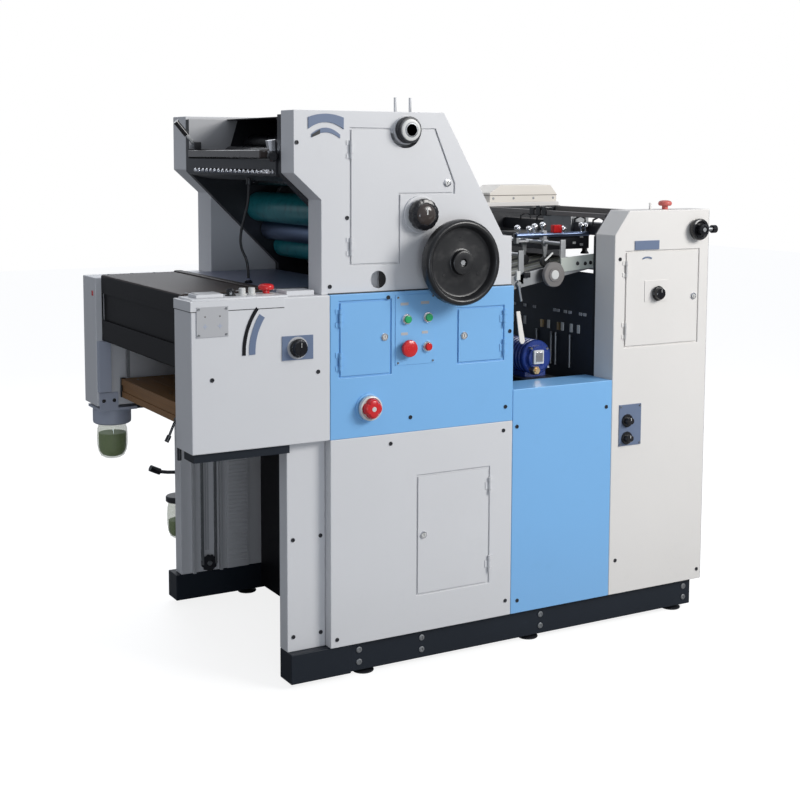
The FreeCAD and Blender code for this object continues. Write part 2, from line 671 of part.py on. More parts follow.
def stop_button(label, centre, top, hole_top):
    """A mushroom button on a plunger that stands in its hole."""
    head = rod(label + "_head", "Z", centre, (top - 18, top), 22)
    plunger = rod(label + "_plunger", "Z", centre, (hole_top - 28, top - 17), 9.7)
    return joined(label + "_whole", head, plunger)


def make_controls():
    node(knob("water", (415, 1316), 9, 46, 34, 12.2, 46), "water_knob")
    node(knob("ring", (368, 1555), S.tower_setback, 38, 30, 8.2, 30), "ring_knob")
    node(knob("delivery", (18, 958), -3, 26, 22, 5.2, 38), "delivery_knob")
    node(knob("pressure", (239, 773), -4, 36, 30, 8.2, 40), "pressure_knob")
    node(knob("feeder", (1283, 1050), -2, 24, 20, 5.2, 10), "feeder_knob")
    wheel = rod("side_wheel", "Y", (1442, 1250), (-26, -6), 35)
    disc = rod("side_wheel_disc", "Y", (1442, 1250), (-42, -25), 18)
    shaft = rod("side_wheel_shaft", "Y", (1442, 1250), (-7, 40), 6.2)
    node(joined("side_wheel_whole", wheel, disc, shaft), "feeder_wheel")
    lid = S.blue_top + 6
    node(stop_button("delivery_stop", (-47, 60), lid + 29, S.blue_top), "emergency_stop_delivery")
    node(stop_button("feeder_stop", (1353, 50), S.feeder_high + 29, S.feeder_high),
         "emergency_stop_feeder")
    plate = -2
    buttons = [rod(f"button_{index}", "Y", centre, (plate - deep, plate), radius)
               for index, (centre, radius, deep) in enumerate((
                   ((363, 1018), 15, 14), ((433, 1020), 15, 14), ((364, 935), 25, 26),
                   ((432, 935), 15, 14)))]
    switches = [rod(f"switch_{index}", "Y", centre, (-24, -3), 21)
                for index, centre in enumerate(((1172, 649), (1171, 593)))]
    lid_knobs = [rod(f"lid_knob_{x}", "Z", (x, 60), (lid, lid + 16), 11)
                 for x in (-250, -215, -120, -85)]
    node(apart("buttons", *buttons, *switches, *lid_knobs), "push_buttons")


def make_plates():
    tower = S.tower_setback
    collar = cut("water_collar", rod("water_collar_disc", "Y", (415, 1316), (9, tower), 54),
                 rod("water_collar_bore", "Y", (415, 1316), (5, 20), 13))
    ring = cut("pressure_collar", rod("pressure_collar_disc", "Y", (239, 773), (-4, 0), 40),
               rod("pressure_collar_bore", "Y", (239, 773), (-8, 4), 9))
    knob_plate = cut("delivery_knob_plate", box("delivery_knob_sheet", (-28, 66), (-3, 0),
                                                (925, 992)),
                     rod("delivery_knob_bore", "Y", (18, 958), (-6, 3), 6))
    plates = [collar, ring, knob_plate,
              box("dial_plate", (52, 163), (tower - 3, tower), (1557, 1596)),
              box("button_plate", (327, 459), (-2, 0), (886, 1088)),
              box("delivery_plate", (-275, -185), (-3, 0), (1003, 1084)),
              box("feeder_label", (1191, 1289), (-3, 0), (1190, 1219)),
              box("switch_plate", (1141, 1229), (-3, 0), (568, 700)),
              box("sensor_box", (-288, -247), (FAR_FACE - 18, FAR_FACE), (735, 898)),
              joined("box_latch", box("latch_foot", (-286, -268), (S.box_deep, S.box_deep + 10),
                                      (735, 765)),
                     rod("latch_arm", "Z", (-277, S.box_deep + 8), (695, 745), 6))]
    node(apart("plates", *plates), "panel_plates")


# ---------------------------------------------------------------- feeder end

REGISTER_START = (700, S.board_slope_low)
REGISTER_END = (1145, S.board_slope_high)


def under_board(x):
    """Height of the register board's underside at a station."""
    share = (x - REGISTER_START[0]) / (REGISTER_END[0] - REGISTER_START[0])
    return S.board_slope_low + (S.board_slope_high - S.board_slope_low) * round(share, 6)


def along_board(xs, low, high):
    """A strip that follows the register board's slope."""
    return [(xs[0], under_board(xs[0]) + low), (xs[1], under_board(xs[1]) + low),
            (xs[1], under_board(xs[1]) + high), (xs[0], under_board(xs[0]) + high)]


def make_register():
    node(slab("register", "XZ", along_board((700, 1145), 0, S.register_thick), (165, 755)),
         "register_board")
    ends = (NEAR_FRAME[1], FAR_FRAME[0])
    pieces = [rod(f"board_rod_{x}", "Y", (x, under_board(x) - 8.5), ends, 8)
              for x in (708, 1130)]
    stations = (850, 1010)
    rails = ((130, 136), (784, 790))
    for side, span in zip(("near", "far"), rails):
        pieces.append(slab(f"rail_{side}_strip", "XZ", along_board((703, 1147), -10, 32), span))
        for x in stations:
            pieces.append(box(f"upright_{side}_{x}", (x - 10, x + 10), span,
                              (under_board(x), under_board(x) + 105)))
    pieces.append(rod("side_lay_wheel", "Y", (957, 1114), (98, 131), 40))
    node(joined("register_frame_done", *pieces), "register_frame")
    bars = []
    for x in stations:
        height = under_board(x) + 92
        wheel_z = under_board(x) + S.register_thick + 16 + 1
        parts = [rod(f"hold_bar_{x}", "Y", (x, height), (rails[0][1], rails[1][0]), 6)]
        for y in (230, 345, 460, 575, 690):
            parts.append(box(f"hold_arm_{x}_{y}", (x - 3, x + 3), (y - 3, y + 3),
                             (wheel_z, height)))
            parts.append(rod(f"hold_wheel_{x}_{y}", "Y", (x, wheel_z), (y - 7, y + 7), 16))
        bars.append(joined(f"hold_down_{x}", *parts))
    node(apart("hold_downs", *bars), "hold_down_wheels")


def make_feeder():
    ends = (NEAR_FRAME[1], FAR_FRAME[0])
    node(box("front_plate", (S.feeder_start + 11, S.feeder_start + 17), ends, (95, 1110)),
         "feeder_front_plate")
    bars = [box("cross_bar_front", (1166, 1186), ends, (1284, 1299)),
            box("cross_bar_rear", (S.feeder_end - 34, S.feeder_end - 14), ends, (1270, 1299))]
    node(apart("cross_bars", *bars), "feeder_cross_bars")
    gap = S.seat_gap
    board = box("feed_board", (1140, 1480), (150, 770), (620, 650))
    bearers = [box(f"bearer_{x}", (x, x + 30), (ends[0] + gap, ends[1] - gap), (590, 621))
               for x in (1200, 1400)]
    node(joined("feed_board_done", board, *bearers), "feed_pile_board")
    head = [box("head_beam", (1235, 1290), ends, (1222, 1262)),
            box("head_block", (1225, 1300), (380, 540), (1205, 1285))]
    for y in (250, 350, 570, 670):
        head.append(rod(f"sucker_{y}", "Z", (1262, y), (1165, 1230), 9))
        head.append(rod(f"sucker_cup_{y}", "Z", (1262, y), (1155, 1172), 14))
    node(joined("head", *head), "suction_head")
    motor = rod("pump_body", "Y", (940, 845), (165, 330), 56)
    cap = rod("pump_cap", "Y", (940, 845), (150, 166), 40)
    nut = rod("pump_nut", "Y", (922, 808), (140, 166), 14)
    foot = box("pump_foot", (900, 980), (175, 320), (S.step_top, 800))
    shelf = box("pump_shelf", (880, 1000), (135 + gap, 340), (S.step_top - 6, S.step_top))
    node(joined("pump", motor, cap, nut, foot, shelf), "suction_pump")
    top = S.feeder_high
    node(slab("hood_top", "XZ", [(1190, top), (1490, top), (1490, top + 30), (1462, top + 62),
                                 (1238, top + 62), (1190, top + 34)],
              (FAR_FACE + 4, WIDE - 4)), "feeder_hood")


# ---------------------------------------------------------------- fluid jars

def make_jars():
    first = (-216, WIDE - 45)
    second = (38, WIDE + 28)
    glass = [joined("jar_first", rod("jar_first_wall", "Z", first, (554, 618), 49),
                    ball("jar_first_end", (first[0], first[1], 554), 49)),
             rod("jar_second", "Z", second, (185, 310), 42)]
    node(apart("jars", *glass), "fluid_jars")
    shelf = S.low_top - 8
    hanger = joined("jar_first_hanger",
                    rod("jar_first_cap", "Z", first, (618, 673), 61),
                    box("jar_first_shelf", (-283, -160), (FAR_FACE - 6, WIDE - 10), (672, shelf)),
                    box("jar_first_plate", (-283, -222), (FAR_FACE - 6, FAR_FACE),
                        (shelf - 1, 732)))
    side = WIDE - S.post_setback
    holder = joined("jar_second_holder",
                    rod("jar_second_cap", "Z", second, (310, 330), 46),
                    box("jar_second_arm", (20, 56), (side, WIDE + 25), (312, 326)),
                    rod("crank_post", "Z", second, (325, 422), 8),
                    rod("crank_arm", "X", (second[1], 415), (-64, second[0]), 7),
                    rod("crank_grip", "Z", (-64, second[1]), (398, 440), 12))
    node(apart("brackets", hanger, holder), "jar_brackets")


# ---------------------------------------------------------------- build, check and write

def set_datum():
    """Move the origin to the middle of the bounding box."""
    doc.recompute()
    whole = FreeCAD.BoundBox()
    for obj in NODES.values():
        whole.add(obj.Shape.BoundBox)
    S.put("datum_x", round(-whole.Center.x, 3))
    S.put("datum_y", round(-whole.Center.y, 3))
    doc.recompute()
    print(f"box {whole.XLength:.1f} x {whole.YLength:.1f} x {whole.ZLength:.1f} mm")


def check_and_write():
    for obj in doc.Objects:
        if "Invalid" in obj.State or "Error" in obj.State:
            raise RuntimeError(f"{obj.Name} did not build: {obj.State}")
    for label, obj in NODES.items():
        if obj.Shape.isNull() or not obj.Shape.isValid() or not obj.Shape.Solids:
            raise RuntimeError(f"{label} has no valid solid")
    os.makedirs("parts", exist_ok=True)
    for label, obj in NODES.items():
        obj.Shape.exportStep(f"parts/{label}.step")
    print(f"{len(NODES)} sub-parts written")


def main():
    make_base()
    make_frames()
    cavities = make_doors()
    node(apart("hinges", *HINGES), "door_hinge_pins")
    make_covers(cavities)
    make_delivery()
    make_tower()
    make_handwheel()
    make_controls()
    make_plates()
    make_register()
    make_feeder()
    make_jars()
    set_datum()
    make_cable()
    doc.recompute()
    check_and_write()


main()
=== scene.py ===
"""A small sheet-fed offset press: its finishes and fine pieces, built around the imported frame."""
import json
import logging
import math
from dataclasses import dataclass
from enum import Enum
from typing import Callable, Iterable, Optional, Sequence, Union

import bmesh
import bpy
from mathutils import Matrix, Vector


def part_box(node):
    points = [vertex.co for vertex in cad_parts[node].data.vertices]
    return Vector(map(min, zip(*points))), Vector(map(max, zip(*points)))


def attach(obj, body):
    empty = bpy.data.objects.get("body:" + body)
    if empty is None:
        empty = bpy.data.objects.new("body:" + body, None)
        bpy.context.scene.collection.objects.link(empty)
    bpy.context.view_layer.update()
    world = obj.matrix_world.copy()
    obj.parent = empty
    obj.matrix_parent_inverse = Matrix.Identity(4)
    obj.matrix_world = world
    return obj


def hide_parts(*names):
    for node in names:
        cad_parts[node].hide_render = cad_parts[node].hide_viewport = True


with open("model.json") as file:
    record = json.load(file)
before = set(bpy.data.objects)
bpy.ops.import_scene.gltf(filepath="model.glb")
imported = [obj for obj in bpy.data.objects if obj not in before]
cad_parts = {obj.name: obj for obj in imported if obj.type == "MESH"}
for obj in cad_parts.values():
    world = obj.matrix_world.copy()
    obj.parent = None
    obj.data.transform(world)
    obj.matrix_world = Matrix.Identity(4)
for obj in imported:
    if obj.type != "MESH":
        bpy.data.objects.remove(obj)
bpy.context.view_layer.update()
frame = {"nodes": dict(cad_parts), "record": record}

LOG = logging.getLogger("press")
MM = 0.001
TINY = 1e-6
SMOOTH_BELOW = 34.0  # degrees; edges above this stay sharp
PAD_EDGE_ANGLE = math.radians(30)  # padded shapes are rounded at edges above this
CAD_EDGE_ANGLE = math.radians(28)  # frame nodes are rounded at edges above this
FLAT_ANGLE = math.radians(0.6)  # faces that turn less than this become one
LEAST_MITRE = 0.2  # keeps a sharp corner's mitre short
NEARLY_ALONG = 0.95  # cosine at which a tube's side direction is chosen anew
ANY_TURN = 6.2  # radians, nearly a full turn
COVER_EDGE = (2.4, 9.0)  # the covers' rounding, and the shortest edge that has it
INSIDE = (122, 798)  # stations between the two side frames
BAY_HEIGHT = (87, 689)  # stations from the base to the side boxes
SIDE_RAILS = ((130, 136), (784, 790))  # stations of the register board's two rails

Pair = tuple[float, float]
Spot = tuple[float, float, float]
Number = Union[float, "Value"]


# ------------------------------------------------------------------ where things are

@dataclass(frozen=True)
class Datum:
    """The machine's own stations, in millimetres, against the frame in metres.

    Stations run along the press from the delivery post, into it from the operator's covers, and
    up from the underside of the base.
    """

    x: float
    y: float
    z: float

    def at(self, spot: Sequence[float]) -> Vector:
        """Turn a station into a point of the frame.

        Args:
            spot: station along, into and up, in millimetres.

        Returns:
            The point in metres.
        """
        return Vector((self.x + spot[0] * MM, self.y + spot[1] * MM, self.z + spot[2] * MM))


DATUM = Datum(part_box("delivery_posts")[0].x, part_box("lower_cover_front")[0].y,
              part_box("base_rails")[0].z)


class Body(Enum):
    """The moving bodies of the press that pieces ride on."""

    PRESS = "press"
    BLANKET = "blanket"
    PILE = "pile"
    LEVER = "fountain_lever"
    TOWER_DOOR = "tower_door"
    DOOR_LEFT = "control_door_left"
    DOOR_RIGHT = "control_door_right"
    HATCH = "lower_hatch"
    FEEDER_DOOR = "feeder_door"
    WATER = "water_knob"
    RING = "ring_knob"
    DELIVERY = "delivery_knob"
    PRESSURE = "pressure_knob"
    FEEDER = "feeder_knob"
    SIDE_WHEEL = "feeder_wheel"
    STOP_DELIVERY = "stop_delivery"
    STOP_FEEDER = "stop_feeder"


class Axis(Enum):
    """The direction that a turned or padded shape runs along."""

    X = 0
    Y = 1
    Z = 2


WATER_AXIS = (415.0, 1316.0)
RING_AXIS = (368.0, 1555.0)
PRESSURE_AXIS = (239.0, 773.0)
DELIVERY_AXIS = (18.0, 958.0)


# ------------------------------------------------------------------ shader expressions

class Value:
    """A shader socket that Python's own operators work on."""

    def __init__(self, tree: bpy.types.NodeTree, socket: bpy.types.NodeSocket) -> None:
        """Wrap a socket of a tree."""
        self.tree = tree
        self.socket = socket

    def math(self, operation: str, *others: Number) -> "Value":
        """Add a Math node on this value.

        Args:
            operation: the node's operation.
            others: the further inputs, numbers or values.

        Returns:
            The node's result.
        """
        node = self.tree.nodes.new("ShaderNodeMath")
        node.operation = operation
        self.tree.links.new(self.socket, node.inputs[0])
        for index, other in enumerate(others, start=1):
            if isinstance(other, Value):
                self.tree.links.new(other.socket, node.inputs[index])
            else:
                node.inputs[index].default_value = other
        return Value(self.tree, node.outputs[0])

    def __add__(self, other: Number) -> "Value":
        """Sum."""
        return self.math("ADD", other)

    def __sub__(self, other: Number) -> "Value":
        """Difference."""
        return self.math("SUBTRACT", other)

    def __mul__(self, other: Number) -> "Value":
        """Product."""
        return self.math("MULTIPLY", other)

    def __rsub__(self, other: float) -> "Value":
        """A number less this value."""
        return self.math("MULTIPLY", -1.0) + other

    def step(self, low: float, high: float) -> "Value":
        """A smooth rise from 0 at low to 1 at high."""
        node = self.tree.nodes.new("ShaderNodeMapRange")
        node.interpolation_type = "SMOOTHSTEP"
        self.tree.links.new(self.socket, node.inputs["Value"])
        node.inputs["From Min"].default_value = low
        node.inputs["From Max"].default_value = high
        return Value(self.tree, node.outputs["Result"])


class Shader:
    """One material's node tree, written as expressions."""

    def __init__(self, name: str) -> None:
        """Start a material that holds only its Principled shader."""
        self.material = bpy.data.materials.new(name)
        self.material.use_nodes = True
        self.tree = self.material.node_tree
        self.surface = self.tree.nodes["Principled BSDF"]
        coords = self.tree.nodes.new("ShaderNodeTexCoord")
        self.coords = coords.outputs["Object"]

    def node(self, kind: str, settings: Optional[dict] = None, **inputs: object) -> bpy.types.Node:
        """Add any node.

        Args:
            kind: the node's type.
            settings: its properties, set before its sockets.
            inputs: values or links by socket name, with _ for a space.

        Returns:
            The node.
        """
        made = self.tree.nodes.new(kind)
        for key, value in (settings or {}).items():
            setattr(made, key, value)
        for key, value in inputs.items():
            self.feed(made.inputs[key.replace("_", " ")], value)
        return made

    def feed(self, socket: bpy.types.NodeSocket, value: object) -> None:
        """Link a value or socket into a socket, or set its number."""
        if isinstance(value, Value):
            self.tree.links.new(value.socket, socket)
        elif isinstance(value, bpy.types.NodeSocket):
            self.tree.links.new(value, socket)
        else:
            socket.default_value = value

    def stretched(self, scale: Spot) -> bpy.types.NodeSocket:
        """Object coordinates stretched by a factor on each axis."""
        return self.node("ShaderNodeMapping", Vector=self.coords, Scale=scale).outputs[0]

    def noise(self, scale: float, detail: float = 4.0, rough: float = 0.5,
              vector: Optional[bpy.types.NodeSocket] = None) -> Value:
        """Noise between 0 and 1 at a scale per metre."""
        made = self.node("ShaderNodeTexNoise", Vector=vector or self.coords, Scale=scale,
                         Detail=detail, Roughness=rough)
        return Value(self.tree, made.outputs["Fac"])

    def height(self) -> Value:
        """The height above the floor."""
        split = self.node("ShaderNodeSeparateXYZ", Vector=self.coords)
        return Value(self.tree, split.outputs["Z"])

    def blend(self, low: object, high: object, factor: Value) -> bpy.types.NodeSocket:
        """Mix two colours by a factor."""
        made = self.node("ShaderNodeMix", {"data_type": "RGBA", "clamp_factor": True})
        self.feed(made.inputs[0], factor)
        self.feed(made.inputs[6], low)
        self.feed(made.inputs[7], high)
        return made.outputs[2]

    def bump(self, height: Value, strength: float, distance: float) -> None:
        """Feed a height into the surface's normal."""
        made = self.node("ShaderNodeBump", Height=height, Strength=strength, Distance=distance)
        self.feed(self.surface.inputs["Normal"], made.outputs[0])

    def set(self, **inputs: object) -> None:
        """Set or link the surface's own sockets, with _ for a space."""
        for key, value in inputs.items():
            self.feed(self.surface.inputs[key.replace("_", " ")], value)


def shade(colour: Spot, factor: float) -> tuple[float, float, float, float]:
    """A colour made darker or lighter, with its alpha."""
    return (colour[0] * factor, colour[1] * factor, colour[2] * factor, 1.0)


# ------------------------------------------------------------------ finishes

@dataclass(frozen=True)
class Finish:
    """A surface finish: a name, the record's slot and a colour."""

    name: str
    slot: str
    colour: Spot

    def dress(self, shader: Shader) -> None:
        """Write the finish into a material."""
        shader.set(Base_Color=shade(self.colour, 1.0))

    def material(self) -> bpy.types.Material:
        """The finish's material, made once."""
        found = bpy.data.materials.get(self.name)
        if found is not None:
            return found
        shader = Shader(self.name)
        self.dress(shader)
        return shader.material


@dataclass(frozen=True)
class Paint(Finish):
    """Satin powder coat on sheet metal, with a faint orange peel, dust and handling marks."""

    roughness: float = 0.38
    dust: float = 0.10

    def dress(self, shader: Shader) -> None:
        """Write the coat: colour drift, rubbed patches, dust near the floor and orange peel."""
        drift = shader.noise(2.3, 5.0, 0.55)
        smudge = shader.noise(14.0, 6.0, 0.62).step(0.56, 0.80)
        low = 1 - shader.height().step(0.05, 0.42)
        speck = shader.noise(90.0, 3.0, 0.7).step(0.60, 0.74)
        grime = low * speck * self.dust + low * self.dust * 0.6
        drifted = shader.blend(shade(self.colour, 0.955), shade(self.colour, 1.03), drift)
        rubbed = shader.blend(drifted, shade(self.colour, 0.93), smudge * 0.35)
        dirty = shader.blend(rubbed, (0.22, 0.20, 0.17, 1.0), grime)
        shader.set(Base_Color=dirty, Roughness=smudge * 0.10 + drift * 0.06 + self.roughness)
        peel = shader.noise(700.0, 2.0, 0.5)
        shader.bump(peel + drift * 2.0, 0.055, 0.0006)


@dataclass(frozen=True)
class Enamel(Finish):
    """Dark paint or casting, slightly uneven, with worn and dusty patches."""

    roughness: float = 0.42
    grain: float = 0.15
    shine: float = 0.5

    def dress(self, shader: Shader) -> None:
        """Write the coat: sand-cast grain, worn lighter patches and dust."""
        cast = shader.noise(260.0, 4.0, 0.6)
        worn = shader.noise(11.0, 7.0, 0.68).step(0.60, 0.78)
        drift = shader.noise(3.0, 4.0, 0.5)
        tone = shader.blend(shade(self.colour, 0.75), shade(self.colour, 1.35), drift)
        shader.set(Base_Color=shader.blend(tone, shade(self.colour, 2.2), worn * 0.5),
                   Roughness=cast * 0.12 + worn * 0.12 + self.roughness - 0.06,
                   Specular_IOR_Level=self.shine)
        shader.bump(cast, self.grain, 0.0008)


@dataclass(frozen=True)
class Steel(Finish):
    """Turned, ground or plated metal with fine lines along its lay and a few stains."""

    roughness: float = 0.28
    lay: Spot = (1.0, 0.03, 1.0)

    def dress(self, shader: Shader) -> None:
        """Write the metal: machining lines, stains and a light oil film."""
        lines = shader.noise(900.0, 3.0, 0.6, shader.stretched(self.lay))
        stain = shader.noise(18.0, 6.0, 0.6).step(0.52, 0.80)
        tone = shader.blend(shade(self.colour, 0.82), shade(self.colour, 1.12), lines)
        shader.set(Base_Color=shader.blend(tone, shade(self.colour, 0.55), stain * 0.45),
                   Metallic=1.0, Roughness=lines * 0.14 + stain * 0.18 + self.roughness)
        shader.bump(lines, 0.08, 0.0003)


@dataclass(frozen=True)
class Rubber(Finish):
    """Roller covering with a thin film of ink or water on it."""

    roughness: float = 0.26

    def dress(self, shader: Shader) -> None:
        """Write the covering: rings of film round the roller and a soft mottle."""
        rings = shader.noise(60.0, 5.0, 0.7, shader.stretched((0.1, 1.0, 0.1)))
        mottle = shader.noise(35.0, 4.0, 0.6)
        tone = shader.blend(shade(self.colour, 0.70), shade(self.colour, 1.25), rings)
        shader.set(Base_Color=shader.blend(tone, shade(self.colour, 0.5), mottle.step(0.5, 0.8)),
                   Roughness=mottle * 0.22 + self.roughness, Coat_Weight=0.25,
                   Coat_Roughness=0.2)
        shader.bump(mottle, 0.04, 0.0005)


@dataclass(frozen=True)
class Plastic(Finish):
    """Moulded plastic with light scratches and finger marks."""

    roughness: float = 0.20

    def dress(self, shader: Shader) -> None:
        """Write the plastic: fine scratches and duller handled patches."""
        scratch = shader.noise(420.0, 3.0, 0.7, shader.stretched((1.0, 0.2, 0.35))).step(0.6, 0.8)
        handled = shader.noise(30.0, 5.0, 0.6).step(0.45, 0.75)
        tone = shader.blend(shade(self.colour, 1.0), shade(self.colour, 1.5), scratch * 0.25)
        shader.set(Base_Color=tone, Roughness=handled * 0.16 + scratch * 0.08 + self.roughness)
        shader.bump(scratch, 0.03, 0.0003)


@dataclass(frozen=True)
class Timber(Finish):
    """Laminated board: long grain on its faces and thin plies on its edges."""

    def dress(self, shader: Shader) -> None:
        """Write the board: grain across the press, plies by height, knots and rubbed ends."""
        grain = shader.noise(55.0, 8.0, 0.62, shader.stretched((1.0, 0.08, 1.0)))
        figure = shader.noise(9.0, 4.0, 0.6, shader.stretched((1.0, 0.25, 1.0)))
        plies = shader.node("ShaderNodeTexWave", {"bands_direction": "Z"}, Vector=shader.coords,
                            Scale=62.0, Distortion=0.6, Detail=2.0)
        ply = Value(shader.tree, plies.outputs["Fac"])
        tone = shader.blend(shade(self.colour, 0.60), shade(self.colour, 1.30), grain)
        layered = shader.blend(tone, shade(self.colour, 0.55), ply.step(0.55, 0.9) * 0.45)
        streaks = figure.step(0.5, 0.8) * 0.4
        shader.set(Base_Color=shader.blend(layered, shade(self.colour, 1.55), streaks),
                   Roughness=grain * 0.25 + 0.48)
        shader.bump(grain + ply * 0.4, 0.25, 0.0008)


@dataclass(frozen=True)
class Glass(Finish):
    """Thick jar glass, a little uneven and tinted."""

    clear: float = 0.9

    def dress(self, shader: Shader) -> None:
        """Write the glass: clear, tinted, with a smeared surface."""
        smear = shader.noise(40.0, 4.0, 0.6)
        shader.set(Base_Color=shade(self.colour, 1.0), Roughness=smear * 0.10 + 0.04,
                   Transmission_Weight=self.clear, IOR=1.46)
        shader.bump(smear, 0.05, 0.0006)


WHITE = Paint("press_white_coat", "painted_white", (0.660, 0.660, 0.672))
WARM = Paint("feeder_warm_coat", "painted_warm", (0.745, 0.722, 0.695))
BLUE = Paint("press_blue_coat", "painted_blue", (0.205, 0.460, 0.790), roughness=0.34)
BEIGE = Paint("hood_beige_coat", "beige_paint", (0.80, 0.75, 0.68))
SLATE = Enamel("base_slate_coat", "base_slate", (0.010, 0.014, 0.021), roughness=0.46, shine=0.3)
IRON = Enamel("black_casting", "dark_iron", (0.016, 0.017, 0.021), roughness=0.40)
SHEET = Enamel("brown_black_sheet", "dark_sheet", (0.0070, 0.0065, 0.0080), roughness=0.5,
               grain=0.05, shine=0.22)
# A lighter brown copy of the dark sheet for the hood's top: painted sheen.
HOOD_TOP_SHEEN = Enamel("hood_top_painted_sheen", "dark_sheet", (0.040, 0.030, 0.027), roughness=0.5,
                  grain=0.05, shine=0.22)
BROWN = Enamel("brown_plinth", "dark_sheet", (0.10, 0.075, 0.055), roughness=0.5, shine=0.3)
PLATE_GREY = Paint("slate_label_plate", "grey_plate", (0.145, 0.190, 0.290), roughness=0.30,
                   dust=0.0)
LIGHT_PLATE = Paint("pale_label_plate", "grey_plate", (0.46, 0.46, 0.47), roughness=0.32, dust=0.0)
GREY_CAST = Paint("grey_bracket_coat", "grey_plate", (0.16, 0.15, 0.145), roughness=0.45)
# A pale bluish copy of the dark sheet for the tower deck: painted reflection on its top.
DECK_REFLECTION = Paint("deck_painted_reflection", "dark_sheet", (0.190, 0.205, 0.290), roughness=0.30, dust=0.0)
CAVITY = Enamel("front_plate_coat", "dark_sheet", (0.022, 0.027, 0.037), roughness=0.45)
SENSOR = Paint("pale_bracket_coat", "grey_plate", (0.40, 0.43, 0.51), roughness=0.4, dust=0.0)
SAGE = Paint("sage_rail_coat", "grey_plate", (0.44, 0.47, 0.43), roughness=0.4, dust=0.0)
OLIVE = Paint("olive_board_coat", "bright_steel", (0.20, 0.20, 0.165), roughness=0.35, dust=0.0)
BRIGHT = Steel("ground_steel", "bright_steel", (0.60, 0.61, 0.62))
DULL = Steel("dull_steel", "bright_steel", (0.33, 0.34, 0.35), roughness=0.38)
CHROME = Steel("plated_steel", "chrome_steel", (0.86, 0.86, 0.88), roughness=0.08)
BRASS = Steel("turned_brass", "chrome_steel", (0.72, 0.50, 0.26), roughness=0.25)
BLUED = Steel("blued_roller_steel", "steel_blue", (0.20, 0.26, 0.40), roughness=0.30)
INKED = Rubber("black_roller_rubber", "dark_iron", (0.006, 0.006, 0.008), roughness=0.18)
GLAZED = Plastic("smoked_enamel", "dark_iron", (0.055, 0.044, 0.040), roughness=0.12)
WHEEL_BLACK = Plastic("handwheel_black", "black_plastic", (0.012, 0.012, 0.013), roughness=0.30)
FADED_RED = Plastic("faded_red_moulding", "red_plastic", (0.55, 0.12, 0.10), roughness=0.4)
GREEN = Rubber("green_roller_rubber", "ink_rubber", (0.005, 0.230, 0.260))
CABLE = Rubber("cable_sheath", "cable_rubber", (0.012, 0.012, 0.014), roughness=0.45)
BLACK = Plastic("black_moulding", "black_plastic", (0.010, 0.010, 0.012), roughness=0.16)
RED = Plastic("red_moulding", "red_plastic", (0.62, 0.022, 0.024))
BUTTON_GREEN = Plastic("green_button", "black_plastic", (0.030, 0.40, 0.14))
PALE = Plastic("pale_moulding", "black_plastic", (0.62, 0.62, 0.60), roughness=0.3)
WOOD = Timber("laminated_board", "board_wood", (0.30, 0.150, 0.055))
JAR = Glass("jar_glass", "jar_glass", (0.30, 0.36, 0.27))
FLUID = Glass("jar_fluid", "jar_glass", (0.05, 0.08, 0.02), clear=0.3)
PUMP_BLUE = Plastic("pump_enamel", "pump_blue", (0.02, 0.045, 0.22), roughness=0.25)


# ------------------------------------------------------------------ meshes

def smooth(mesh: bpy.types.Mesh, degrees: float = SMOOTH_BELOW) -> None:
    """Shade a mesh smooth, with its edges kept sharp above an angle."""
    mesh.polygons.foreach_set("use_smooth", [True] * len(mesh.polygons))
    mesh.set_sharp_from_angle(angle=math.radians(degrees))


def pour(part: bmesh.types.BMesh, target: bmesh.types.BMesh) -> None:
    """Move a part's faces into another mesh."""
    holder = bpy.data.meshes.new("part")
    part.to_mesh(holder)
    part.free()
    target.from_mesh(holder)
    bpy.data.meshes.remove(holder)


